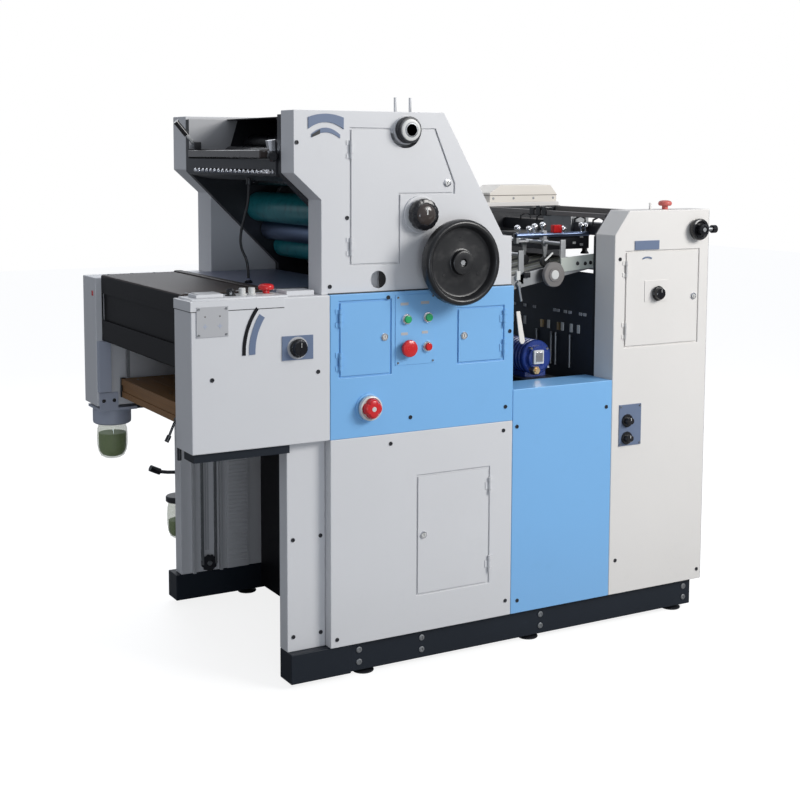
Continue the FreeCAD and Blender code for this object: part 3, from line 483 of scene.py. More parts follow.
class Maker:
    """Collects turned, padded and swept solids in one mesh, given in the machine's stations."""

    def __init__(self, name: str) -> None:
        """Start an empty piece."""
        self.name = name
        self.mesh = bmesh.new()
        self.finishes: list[Finish] = []

    def index(self, finish: Finish) -> int:
        """The material index of a finish in this piece."""
        if finish not in self.finishes:
            self.finishes.append(finish)
        return self.finishes.index(finish)

    def add(self, part: bmesh.types.BMesh, finish: Finish) -> "Maker":
        """Join a part, given in stations, into the piece."""
        slot = self.index(finish)
        for face in part.faces:
            face.material_index = slot
        for vertex in part.verts:
            vertex.co = DATUM.at(vertex.co)
        pour(part, self.mesh)
        return self

    def block(self, xs: Pair, ys: Pair, zs: Pair, finish: Finish, edge: float = 1.0) -> "Maker":
        """A block between stations with its edges rounded.

        Args:
            xs: stations along the press.
            ys: stations into the press.
            zs: heights.
            finish: its finish.
            edge: the rounding of its edges.

        Returns:
            This maker.
        """
        return self.pad(Axis.Y, square(xs, zs), ys, finish, edge)

    def pad(self, axis: Axis, outline: Sequence[Pair], span: Pair, finish: Finish,
            edge: float = 0.0, segments: int = 2) -> "Maker":
        """An outline padded along an axis.

        Args:
            axis: the direction of the padding.
            outline: corners in the two other directions, in X, Y, Z order.
            span: where the padding starts and ends.
            finish: its finish.
            edge: the rounding of its edges.
            segments: steps of the rounding.

        Returns:
            This maker.
        """
        part = bmesh.new()
        low = [part.verts.new(spread(axis, corner, span[0])) for corner in outline]
        high = [part.verts.new(spread(axis, corner, span[1])) for corner in outline]
        count = len(outline)
        part.faces.new(low)
        part.faces.new(high[::-1])
        for i in range(count):
            j = (i + 1) % count
            part.faces.new((low[i], high[i], high[j], low[j]))
        bmesh.ops.recalc_face_normals(part, faces=part.faces)
        if edge > 0:
            sharp = [e for e in part.edges if e.calc_face_angle(0) > PAD_EDGE_ANGLE]
            bmesh.ops.bevel(part, geom=sharp, offset=edge, segments=segments, profile=0.6,
                            affect="EDGES", clamp_overlap=True)
        return self.add(part, finish)

    def frame(self, axis: Axis, outer: Sequence[Pair], inset: float, span: Pair,
              finish: Finish) -> "Maker":
        """A flat rim that follows an outline and is open in the middle.

        Args:
            axis: the direction that the rim faces.
            outer: its outer corners, in X, Y, Z order.
            inset: how far in its inner corners are.
            span: where it starts and ends along the axis.
            finish: its finish.

        Returns:
            This maker.
        """
        part = bmesh.new()
        loops = [[part.verts.new(spread(axis, corner, along)) for corner in corners]
                 for corners, along in ((outer, span[0]), (outer, span[1]),
                                        (inner_outline(outer, inset), span[1]),
                                        (inner_outline(outer, inset), span[0]))]
        for one, two in zip(loops, loops[1:] + loops[:1]):
            for i in range(len(outer)):
                j = (i + 1) % len(outer)
                part.faces.new((one[i], one[j], two[j], two[i]))
        bmesh.ops.recalc_face_normals(part, faces=part.faces)
        return self.add(part, finish)

    def absorb(self, mesh: bpy.types.Mesh, finish: Finish) -> "Maker":
        """Join a mesh that already stands in its place."""
        slot = self.index(finish)
        part = bmesh.new()
        part.from_mesh(mesh)
        for face in part.faces:
            face.material_index = slot
        pour(part, self.mesh)
        return self

    def repeat(self, shape: "Shape", spots: Sequence[Spot], finish: Finish,
               *how: object) -> "Maker":
        """Join copies of a small shape.

        Args:
            shape: what is repeated, about its own origin.
            spots: the stations.
            finish: its finish.
            how: the most that a copy is turned about each axis, then the seed of the turns.

        Returns:
            This maker.
        """
        return self.absorb(REPEATER.copies(shape, spots, finish, *how), finish)

    def blocks(self, *rows: tuple) -> "Maker":
        """Join several blocks.

        Args:
            rows: the arguments of block, once for each.

        Returns:
            This maker.
        """
        for one in rows:
            self.block(*one)
        return self

    def turn(self, axis: Axis, centre: Pair, profile: Sequence[Pair], finish: Finish,
             steps: int = 40, wave: Optional[Callable[[float], float]] = None) -> "Maker":
        """A profile turned about an axis.

        Args:
            axis: the direction of the axis.
            centre: where the axis passes, in the two other directions.
            profile: pairs of a radius and a station along the axis, from one end to the other.
            finish: its finish.
            steps: faces round the axis.
            wave: a factor on the radius by the angle, for scallops or flats.

        Returns:
            This maker.
        """
        part = bmesh.new()
        rings = []
        for radius, along in profile:
            if radius < TINY:
                rings.append([part.verts.new(spread(axis, centre, along))])
                continue
            ring = []
            for k in range(steps):
                angle = 2 * math.pi * k / steps
                reach = radius * (wave(angle) if wave else 1.0)
                corner = (centre[0] + reach * math.cos(angle), centre[1] + reach * math.sin(angle))
                ring.append(part.verts.new(spread(axis, corner, along)))
            rings.append(ring)
        for one, two in zip(rings, rings[1:]):
            for k in range(steps):
                ahead = (k + 1) % steps
                corners = [one[k % len(one)], one[ahead % len(one)], two[ahead % len(two)],
                           two[k % len(two)]]
                unique = list(dict.fromkeys(corners))
                if len(unique) > 2:
                    part.faces.new(unique)
        for ring in (rings[0], rings[-1]):
            if len(ring) > 2:
                part.faces.new(ring)
        bmesh.ops.recalc_face_normals(part, faces=part.faces)
        return self.add(part, finish)

    def rod(self, axis: Axis, centre: Pair, span: Pair, radius: float, finish: Finish,
            chamfer: float = 0.8, steps: int = 28) -> "Maker":
        """A round bar with chamfered ends."""
        low, high = span
        cut = min(chamfer, radius * 0.4, abs(high - low) * 0.3)
        profile = [(radius - cut, low), (radius, low + cut), (radius, high - cut),
                   (radius - cut, high)]
        return self.turn(axis, centre, profile, finish, steps)

    def tube(self, points: Sequence[Spot], radius: float, finish: Finish,
             sides: int = 10) -> "Maker":
        """A round bar bent along points."""
        part = bmesh.new()
        path = [Vector(point) for point in points]
        rings = []
        side = Vector((0, 0, 1))
        for i, point in enumerate(path):
            ahead = path[min(i + 1, len(path) - 1)] - path[max(i - 1, 0)]
            ahead.normalize()
            if abs(ahead.dot(side)) > NEARLY_ALONG:
                side = Vector((1, 0, 0))
            across = ahead.cross(side).normalized()
            side = across.cross(ahead).normalized()
            rings.append([part.verts.new(point + across * (radius * math.cos(angle))
                                         + side * (radius * math.sin(angle)))
                          for angle in (2 * math.pi * k / sides for k in range(sides))])
        for one, two in zip(rings, rings[1:]):
            for k in range(sides):
                part.faces.new((one[k], one[(k + 1) % sides], two[(k + 1) % sides], two[k]))
        part.faces.new(rings[0])
        part.faces.new(rings[-1])
        bmesh.ops.recalc_face_normals(part, faces=part.faces)
        return self.add(part, finish)

    def place(self, body: Body, *nodes: str) -> bpy.types.Object:
        """Finish the piece: one object on a body, standing for the named frame nodes.

        Args:
            body: the body it rides on.
            nodes: the frame nodes that it replaces.

        Returns:
            The object.
        """
        mesh = bpy.data.meshes.new(self.name)
        self.mesh.to_mesh(mesh)
        self.mesh.free()
        for finish in self.finishes:
            mesh.materials.append(finish.material())
        smooth(mesh)
        return settle(self.name, mesh, body, nodes)


def ripple(depth: float, count: int) -> Callable[[float], float]:
    """A factor on the radius by the angle, for flutes or knurls round a rim."""
    return lambda angle: 1 + depth * math.cos(count * angle)


def spread(axis: Axis, corner: Sequence[float], along: float) -> Vector:
    """A point from its two coordinates across an axis and the one along it."""
    spot = list(corner)
    spot.insert(axis.value, along)
    return Vector(spot)


def show(item: bpy.types.Object) -> None:
    """Put an object in the scene."""
    bpy.context.scene.collection.objects.link(item)


def settle(name: str, mesh: bpy.types.Mesh, body: Body,
           nodes: Iterable[str] = ()) -> bpy.types.Object:
    """Link a mesh as a piece that rides on a body."""
    piece = bpy.data.objects.new(name, mesh)
    show(piece)
    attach(piece, body.value)
    level = piece.modifiers.new("flat_faces", "WEIGHTED_NORMAL")
    level.keep_sharp = True
    if nodes:
        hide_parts(*nodes)
    LOG.info("%s: %d faces on %s", name, len(mesh.polygons), body.value)
    return piece


def merged(node: str) -> bmesh.types.BMesh:
    """A frame node's mesh as clean faces, in a copy."""
    copy = bmesh.new()
    copy.from_mesh(frame["nodes"][node].data)
    bmesh.ops.remove_doubles(copy, verts=copy.verts, dist=TINY)
    bmesh.ops.dissolve_limit(copy, angle_limit=FLAT_ANGLE, verts=copy.verts, edges=copy.edges)
    return copy


def soften(node: str, finish: Finish, body: Body, edge: float = 2.0, shortest: float = 7.0,
           name: str = "") -> bpy.types.Object:
    """Stand in for a frame node with a copy whose long edges are rounded.

    Args:
        node: the frame node.
        finish: its finish.
        body: the body it rides on.
        edge: the rounding in millimetres.
        shortest: edges shorter than this stay as they are, in millimetres.
        name: the piece's name, or none for the node's own.

    Returns:
        The piece.
    """
    copy = merged(node)
    sharp = [e for e in copy.edges if e.is_manifold and e.calc_length() > shortest * MM
             and e.calc_face_angle(0) > CAD_EDGE_ANGLE]
    if sharp and edge > 0:
        bmesh.ops.bevel(copy, geom=sharp, offset=edge * MM, segments=3, profile=0.5,
                        affect="EDGES", clamp_overlap=True, material=-1)
    mesh = bpy.data.meshes.new(name or node + "_body")
    copy.to_mesh(mesh)
    copy.free()
    mesh.materials.clear()
    mesh.materials.append(finish.material())
    smooth(mesh)
    return settle(name or node + "_body", mesh, body, (node,))


def inner_outline(corners: Sequence[Pair], inset: float) -> list[Pair]:
    """A closed outline moved inwards, or outwards for a negative inset.

    Args:
        corners: the outline's corners.
        inset: the distance.

    Returns:
        The moved corners, in the same order.
    """
    area = sum(a[0] * b[1] - b[0] * a[1] for a, b in zip(corners, [*corners[1:], corners[0]]))
    side = inset if area > 0 else -inset
    moved = []
    for before, here, after in zip([corners[-1], *corners[:-1]], corners,
                                   [*corners[1:], corners[0]]):
        one = Vector((here[0] - before[0], here[1] - before[1])).normalized()
        two = Vector((after[0] - here[0], after[1] - here[1])).normalized()
        mitre = Vector((-one.y - two.y, one.x + two.x))
        reach = side * 2 / max(mitre.length_squared, LEAST_MITRE)
        moved.append((here[0] + mitre.x * reach, here[1] + mitre.y * reach))
    return moved


# ------------------------------------------------------------------ repeats

class Repeater:
    """A node tree that sets copies of one small shape on points, each turned a little."""

    def __init__(self) -> None:
        """Build the tree with its named inputs."""
        self.tree = bpy.data.node_groups.new("copies_on_points", "GeometryNodeTree")
        self.tree.is_modifier = True
        self.inputs: dict[str, str] = {}
        face = self.tree.interface
        face.new_socket("Geometry", in_out="INPUT", socket_type="NodeSocketGeometry")
        face.new_socket("Geometry", in_out="OUTPUT", socket_type="NodeSocketGeometry")
        for label, kind in (("Shape", "NodeSocketObject"), ("Finish", "NodeSocketMaterial"),
                            ("Turn", "NodeSocketVector"), ("Seed", "NodeSocketInt")):
            socket = face.new_socket(label, in_out="INPUT", socket_type=kind)
            self.inputs[label] = socket.identifier
        make = self.tree.nodes.new
        link = self.tree.links.new
        source, sink = make("NodeGroupInput"), make("NodeGroupOutput")
        shape, copies = make("GeometryNodeObjectInfo"), make("GeometryNodeInstanceOnPoints")
        turn = make("FunctionNodeRandomValue")
        turn.data_type = "FLOAT_VECTOR"
        real, dress = make("GeometryNodeRealizeInstances"), make("GeometryNodeSetMaterial")
        link(source.outputs["Shape"], shape.inputs["Object"])
        link(source.outputs["Turn"], turn.inputs["Max"])
        link(source.outputs["Seed"], turn.inputs["Seed"])
        link(source.outputs["Geometry"], copies.inputs["Points"])
        link(shape.outputs["Geometry"], copies.inputs["Instance"])
        link(turn.outputs["Value"], copies.inputs["Rotation"])
        link(copies.outputs["Instances"], real.inputs["Geometry"])
        link(real.outputs["Geometry"], dress.inputs["Geometry"])
        link(source.outputs["Finish"], dress.inputs["Material"])
        link(dress.outputs["Geometry"], sink.inputs["Geometry"])

    def copies(self, shape: "Shape", spots: Sequence[Spot], finish: Finish,
               turn: Spot = (0.0, 0.0, 0.0), seed: int = 7) -> bpy.types.Mesh:
        """Set the shape on stations.

        Args:
            shape: what is repeated, about its own origin.
            spots: the stations.
            finish: its finish.
            turn: the most that a copy is turned about each axis, in radians.
            seed: the seed of the turns.

        Returns:
            One plain mesh, in its place.
        """
        points = bpy.data.meshes.new("points")
        points.from_pydata([DATUM.at(spot) for spot in spots], [], [])
        host = bpy.data.objects.new("points", points)
        item = shape.item()
        for thing in (host, item):
            show(thing)
        modifier = host.modifiers.new("copies", "NODES")
        modifier.node_group = self.tree
        for label, value in (("Shape", item), ("Finish", finish.material()), ("Turn", turn),
                             ("Seed", seed)):
            modifier[self.inputs[label]] = value
        graph = bpy.context.evaluated_depsgraph_get()
        made = bpy.data.meshes.new_from_object(host.evaluated_get(graph))
        host.modifiers.clear()
        for thing in (host, item):
            mesh = thing.data
            bpy.data.objects.remove(thing)
            bpy.data.meshes.remove(mesh)
        return made


class Shape(Maker):
    """A small shape about the origin, to be repeated."""

    def add(self, part: bmesh.types.BMesh, finish: Finish) -> "Shape":
        """Join a part, given in millimetres about the origin."""
        for vertex in part.verts:
            vertex.co *= MM
        pour(part, self.mesh)
        return self

    def item(self) -> bpy.types.Object:
        """The shape as a loose object."""
        mesh = bpy.data.meshes.new(self.name)
        self.mesh.to_mesh(mesh)
        smooth(mesh)
        return bpy.data.objects.new(self.name, mesh)


REPEATER = Repeater()


def row(start: Spot, stop: Spot, count: int) -> list[Spot]:
    """Stations at even steps from one to another."""
    steps = max(count - 1, 1)
    return [tuple(a + (b - a) * k / steps for a, b in zip(start, stop)) for k in range(count)]


def screw(name: str, axis: Axis, radius: float, front: float) -> Shape:
    """A socket-head screw whose head stands towards front (-1 or 1) along its axis."""
    shape = Shape(name)
    shape.turn(axis, (0, 0), [(0, front * 0.6), (radius * 0.42, front * 0.6),
                              (radius * 0.48, front * 2.3), (radius * 0.86, front * 2.4),
                              (radius, front * 1.7), (radius, -front * 0.8),
                              (0, -front * 0.8)], IRON, 14)
    return shape


# ------------------------------------------------------------------ base and side frames

@dataclass
class Base:
    """The rail base, its cross beams, the levelling feet and the two side castings."""

    bolt: float = 9.0
    foot_spots: tuple[float, ...] = (250.0, 835.0, 1415.0)
    bolt_spots: tuple[float, ...] = (220.0, 430.0, 860.0, 1440.0)

    def build(self) -> None:
        """Build every piece."""
        soften("base_rails", SLATE, Body.PRESS, 3.0)
        soften("base_cross_beams", SLATE, Body.PRESS, 2.0)
        soften("side_frames", IRON, Body.PRESS, 2.0)
        self.feet()
        self.bolts()

    def feet(self) -> None:
        """Turned feet with a rubber pad, a locking nut and a threaded stem."""
        maker = Maker("turned_feet")
        for y in (50.0, 898.0):
            for x in self.foot_spots:
                centre = (x, y)
                maker.turn(Axis.Z, centre, [(0, -15), (30, -15), (32, -13), (32, -10.5),
                                            (29, -9.5), (14, -6), (0, -6)], IRON, 36)
                maker.turn(Axis.Z, centre, [(0, -6), (13, -6), (13.8, -5.2), (13.8, -0.8),
                                            (13, 0), (0, 0)], DULL, 6)
        maker.place(Body.PRESS, "levelling_feet")

    def bolts(self) -> None:
        """Bolt heads along both rails."""
        maker = Maker("frame_bolts")
        for name, y, front in (("rail_bolt", 17.6, -1), ("far_bolt", 932.4, 1)):
            spots = [(x, y, z) for x in self.bolt_spots for z in (26.0, 62.0)]
            maker.repeat(screw(name, Axis.Y, self.bolt, front), spots, DULL, (0, 1.0, 0))
        maker.place(Body.PRESS)


# ------------------------------------------------------------------ covers

@dataclass
class Door:
    """One hinged door: its leaf outline, face, lock and the rim that it closes on."""

    node: str
    body: Body
    finish: Finish
    outline: tuple[Pair, ...]
    face: float
    lock: Pair
    gap: float = 5.0

    def build(self) -> None:
        """Build the leaf, its lock and the rim behind its gap."""
        soften(self.node, self.finish, self.body, 1.0)
        maker = Maker(self.node + "_lock")
        low = self.face - 4.2
        maker.turn(Axis.Y, self.lock, [(0, low + 1.0), (6.6, low + 1.0), (7.0, low),
                                       (10.2, low + 0.4), (11.2, low + 1.6), (11.4, self.face)],
                   CHROME, 40)
        maker.turn(Axis.Y, self.lock, [(0, low + 0.5), (6.3, low + 0.5), (6.3, self.face)],
                   PALE, 28)
        x, z = self.lock
        maker.block((x - 0.9, x + 0.9), (low + 0.3, low + 1), (z - 4.4, z + 4.4), BLACK, 0.2)
        maker.place(self.body)
        rim = Maker(self.node + "_rim")
        rim.frame(Axis.Y, inner_outline(self.outline, -self.gap - 0.4), self.gap + 9.0,
                  (self.face + 4.5, self.face + 7.0), self.finish)
        rim.place(Body.PRESS)


def square(xs: Pair, zs: Pair) -> tuple[Pair, ...]:
    """The corners of a rectangle."""
    return ((xs[0], zs[0]), (xs[1], zs[0]), (xs[1], zs[1]), (xs[0], zs[1]))


DOORS = (
    Door("tower_door", Body.TOWER_DOOR, WHITE,
         ((194, 1181), (345, 1181), (345, 1378), (528, 1378), (528, 1400), (462, 1555),
          (194, 1555)), 15.0, (506, 1405)),
    Door("control_door_left", Body.DOOR_LEFT, BLUE, square((152, 310), (868, 1074)), 0.0,
         (292, 971)),
    Door("control_door_right", Body.DOOR_RIGHT, BLUE, square((541, 696), (881, 1036)), 0.0,
         (559, 958.5)),
    Door("lower_hatch", Body.HATCH, WHITE, square((406, 650), (204, 553)), 0.0, (424, 378.5)),
    Door("feeder_door", Body.FEEDER_DOOR, WARM, square((1161, 1454), (887, 1182)), 0.0,
         (1436, 1034.5)),
)


@dataclass
class Covers:
    """The sheet-metal covers on both sides, with their screws, seams and vents."""

    screw_radius: float = 6.0
    overhang: float = 1390.0
    lap: float = 17.0
    lap_reach: float = 60.0
    stud: Pair = (1494.0, 1524.0)
    feeder_edge: float = 1100.0
    blue_span: Pair = (689.0, 1098.0)
    near_screws: tuple[Pair, ...] = ((304, 1083), (378, 732), (708, 734), (721, 962), (702, 662),
                                     (313, 661), (140, 111), (715, 134), (751, 669), (759, 127),
                                     (1134, 1163), (1137, 198), (1480, 120), (1090, 700))
    tower_screws: tuple[Pair, ...] = ((26, 1518), (513, 1403), (640, 1150), (126, 1120),
                                      (180, 1310))
    far_screws: tuple[Pair, ...] = ((150, 1080), (705, 1080), (150, 710), (705, 710), (150, 660),
                                    (705, 660), (150, 116), (705, 116), (760, 750), (1090, 750),
                                    (760, 120), (1090, 120), (1140, 1200), (1470, 1280),
                                    (1140, 120), (1470, 120), (1140, 700), (1470, 700))

    def build(self) -> None:
        """Build every piece."""
        for node, finish in (("tower_cover_front", WHITE), ("control_cover_front", BLUE),
                             ("lower_cover_front", WHITE), ("step_cover_front", BLUE),
                             ("drive_covers_blue", BLUE)):
            self.trim(soften(node, finish, Body.PRESS, *COVER_EDGE))
        piece = soften("feeder_cover_front", WARM, Body.PRESS, *COVER_EDGE)
        stem, tip = (DATUM.at((x, 0, 0)).x for x in self.stud)
        for finish in (DULL, BLACK):
            piece.data.materials.append(finish.material())
        for face in piece.data.polygons:
            face.material_index = int(face.center.x > stem) + int(face.center.x > tip)
        self.drive_side()
        self.hinges()
        self.screws()
        self.seams()
        for door in DOORS:
            door.build()

    def trim(self, piece: bpy.types.Object) -> None:
        """Set back the overhanging edge of a tower cover by a sheet's lap.

        Args:
            piece: the cover, of which only what stands over the delivery end moves.
        """
        corner = DATUM.at((0, 0, self.overhang))
        for vertex in piece.data.vertices:
            ahead = (vertex.co.x - corner.x) / MM
            if vertex.co.z > corner.z and -1 < ahead < self.lap_reach:
                vertex.co.x += self.lap * (1 - max(ahead, 0.0) / self.lap_reach) * MM

    def drive_side(self) -> None:
        """The white drive-side covers, warm over the feeder, with panels and vents."""
        piece = soften("drive_covers_white", WHITE, Body.PRESS, *COVER_EDGE)
        self.trim(piece)
        piece.data.materials.append(WARM.material())
        edge = DATUM.at((self.feeder_edge, 0, 0)).x
        for face in piece.data.polygons:
            face.material_index = int(face.center.x > edge)
        maker = Maker("drive_side_panels")
        maker.blocks(((180, 560), (949, 952), (1140, 1380), WHITE, 1.0),
                     ((170, 680), (949, 952), (150, 600), WHITE, 1.0),
                     ((1150, 1460), (949, 952), (330, 880), WARM, 1.0))
        slat = Shape("louvre")
        slat.pad(Axis.X, [(0, -3.2), (4.2, -3.2), (4.6, -2.2), (0.4, 3.4), (0, 3.4)], (-95, 95),
                 IRON, 0.3)
        for x, z, count, finish in ((425, 200, 12, WHITE), (425, 420, 10, WHITE),
                                    (1305, 400, 16, WARM)):
            maker.repeat(slat, row((x, 952, z), (x, 952, z + 13.0 * (count - 1)), count), finish)
        maker.place(Body.PRESS)

    def hinges(self) -> None:
        """The doors' fixed knuckles, each in its own cover's colour."""
        piece = soften("door_hinge_pins", WHITE, Body.PRESS, 0.0)
        for finish in (BLUE, WARM, DULL):
            piece.data.materials.append(finish.material())
        feeder = DATUM.at((self.feeder_edge, 0, 0)).x
        blue, tower = (DATUM.at((0, 0, z)).z for z in self.blue_span)
        for face in piece.data.polygons:
            middle = face.center
            face.material_index = 2 if middle.x > feeder else int(blue < middle.z < tower)

    def screws(self) -> None:
        """Dark socket screws in the covers' corners."""
        maker = Maker("cover_screws")
        near = screw("near_screw", Axis.Y, self.screw_radius, -1)
        far = screw("drive_screw", Axis.Y, self.screw_radius, 1)
        spots = [(x, 0, z) for x, z in self.near_screws]
        spots += [(x, 15, z) for x, z in self.tower_screws]
        spots += [(-232, 0, 887), (82, 0, 887)]
        spots += [(18, 33, 410), (104, 33, 412), (18, 33, 130), (104, 33, 130)]
        maker.repeat(near, spots, IRON, (0, ANY_TURN, 0), 3)
        spots = [(x, 950, z) for x, z in self.far_screws]
        spots += [(x, 952, z) for x, z in ((192, 1152), (548, 1152), (192, 1368), (548, 1368),
                                           (182, 162), (668, 162), (182, 588), (668, 588),
                                           (1162, 342), (1448, 342), (1162, 868), (1448, 868))]
        maker.repeat(far, spots, IRON, (0, ANY_TURN, 0), 4)
        maker.place(Body.PRESS)

    def seams(self) -> None:
        """Black strips in the joints between the covers, painted shadow in their gaps."""
        maker = Maker("cover_seals")
        # Each dark strip stands for the shadow in a cover joint: painted shadow lines.
        maker.blocks(((120, 735), (12.6, 15), (1098, 1101.4), CABLE, 0.8),
                     ((735.1, 735.7), (6, 80), (90, 775), CABLE, 0.1),
                     ((1112.3, 1112.9), (4, 80), (90, 775), CABLE, 0.1))
        maker.place(Body.PRESS)


# ------------------------------------------------------------------ camera, light and floor

@dataclass
class Stage:
    """Camera, lights and floor."""

    eye: Spot = (-1601.0, -3402.0, 1484.0)
    yaw: float = 29.735
    pitch: float = 5.81
    roll: float = 0.2
    lens: float = 62.22
    shift: float = -0.130
    sensor: float = 36.0
    far: float = 60.0
    sky: float = 0.41
    glow: float = 0.84
    half_floor: float = 14.0

    def camera(self) -> None:
        """Set up the camera."""
        data = bpy.data.cameras.new("view")
        data.lens = self.lens
        data.sensor_width = self.sensor
        data.shift_y = self.shift
        data.clip_end = self.far
        eye = bpy.data.objects.new("view", data)
        show(eye)
        turn = Matrix.Rotation(math.radians(-self.yaw), 4, "Z")
        tilt = Matrix.Rotation(math.radians(90 - self.pitch), 4, "X")
        roll = Matrix.Rotation(math.radians(self.roll), 4, "Z")
        eye.matrix_world = Matrix.Translation(DATUM.at(self.eye)) @ turn @ tilt @ roll
        bpy.context.scene.camera = eye

    def lamp(self, name: str, spot: Spot, aim: Spot, size: Pair, power: float,
             colour: Spot) -> None:
        """Add one soft area light.

        Args:
            name: its name.
            spot: where it stands, in metres.
            aim: what it points at, in metres.
            size: its width and height in metres.
            power: its power in watts.
            colour: its colour.
        """
        data = bpy.data.lights.new(name, "AREA")
        data.shape = "RECTANGLE"
        data.size, data.size_y = size
        data.energy = power
        data.color = colour
        light = bpy.data.objects.new(name, data)
        show(light)
        light.location = spot
        light.rotation_euler = (Vector(aim) - Vector(spot)).to_track_quat("-Z", "Y").to_euler()

    def build(self) -> None:
        """Light the object and lay the floor."""
        self.lamp("key", (2.4, -3.8, 3.0), (0, 0, 0.8), (2.0, 1.6), 166.0, (1.0, 0.985, 0.96))
        self.lamp("fill", (-1.7, -4.2, 0.9), (-0.5, 0.3, 0.5), (1.0, 0.8), 24.0, (0.82, 0.90, 1.0))
        self.lamp("top", (0, 0.4, 4.2), (0, 0, 0.8), (4.0, 3.0), 34.0, (0.95, 0.97, 1.0))
        self.lamp("back", (1.0, 4.0, 2.8), (0, 0, 0.9), (3.0, 2.0), 34.0, (0.95, 0.97, 1.0))
        world = bpy.data.worlds.new("studio")
        bpy.context.scene.world = world
        world.use_nodes = True
        tree = world.node_tree
        sky = tree.nodes["Background"]
        sky.inputs["Color"].default_value = (0.84, 0.90, 1.0, 1.0)
        sky.inputs["Strength"].default_value = self.sky
        wall, ray, mix = (tree.nodes.new(kind) for kind in (
            "ShaderNodeBackground", "ShaderNodeLightPath", "ShaderNodeMixShader"))
        wall.inputs["Color"].default_value = (1.0, 1.0, 1.0, 1.0)
        tree.links.new(ray.outputs["Is Camera Ray"], mix.inputs[0])
        tree.links.new(sky.outputs[0], mix.inputs[1])
        tree.links.new(wall.outputs[0], mix.inputs[2])
        tree.links.new(mix.outputs[0], tree.nodes["World Output"].inputs["Surface"])
        bpy.context.scene.view_settings.view_transform = "Standard"
        mesh = bpy.data.meshes.new("floor")
        half = self.half_floor
        mesh.from_pydata([(-half, -half, 0), (half, -half, 0), (half, half, 0), (-half, half, 0)],
                         [], [(0, 1, 2, 3)])
        shader = Shader("pale_floor")
        drift = shader.noise(1.1, 3.0, 0.5)
        seen = Value(shader.tree, shader.node("ShaderNodeLightPath").outputs["Is Camera Ray"])
        shader.set(Base_Color=shader.blend((0.26, 0.26, 0.26, 1), (0.30, 0.30, 0.30, 1), drift),
                   Roughness=drift * 0.1 + 0.55, Emission_Color=(1.0, 1.0, 1.0, 1.0),
                   Emission_Strength=seen * self.glow)
        mesh.materials.append(shader.material)
        floor = bpy.data.objects.new("floor", mesh)
        show(floor)


# ------------------------------------------------------------------ delivery end

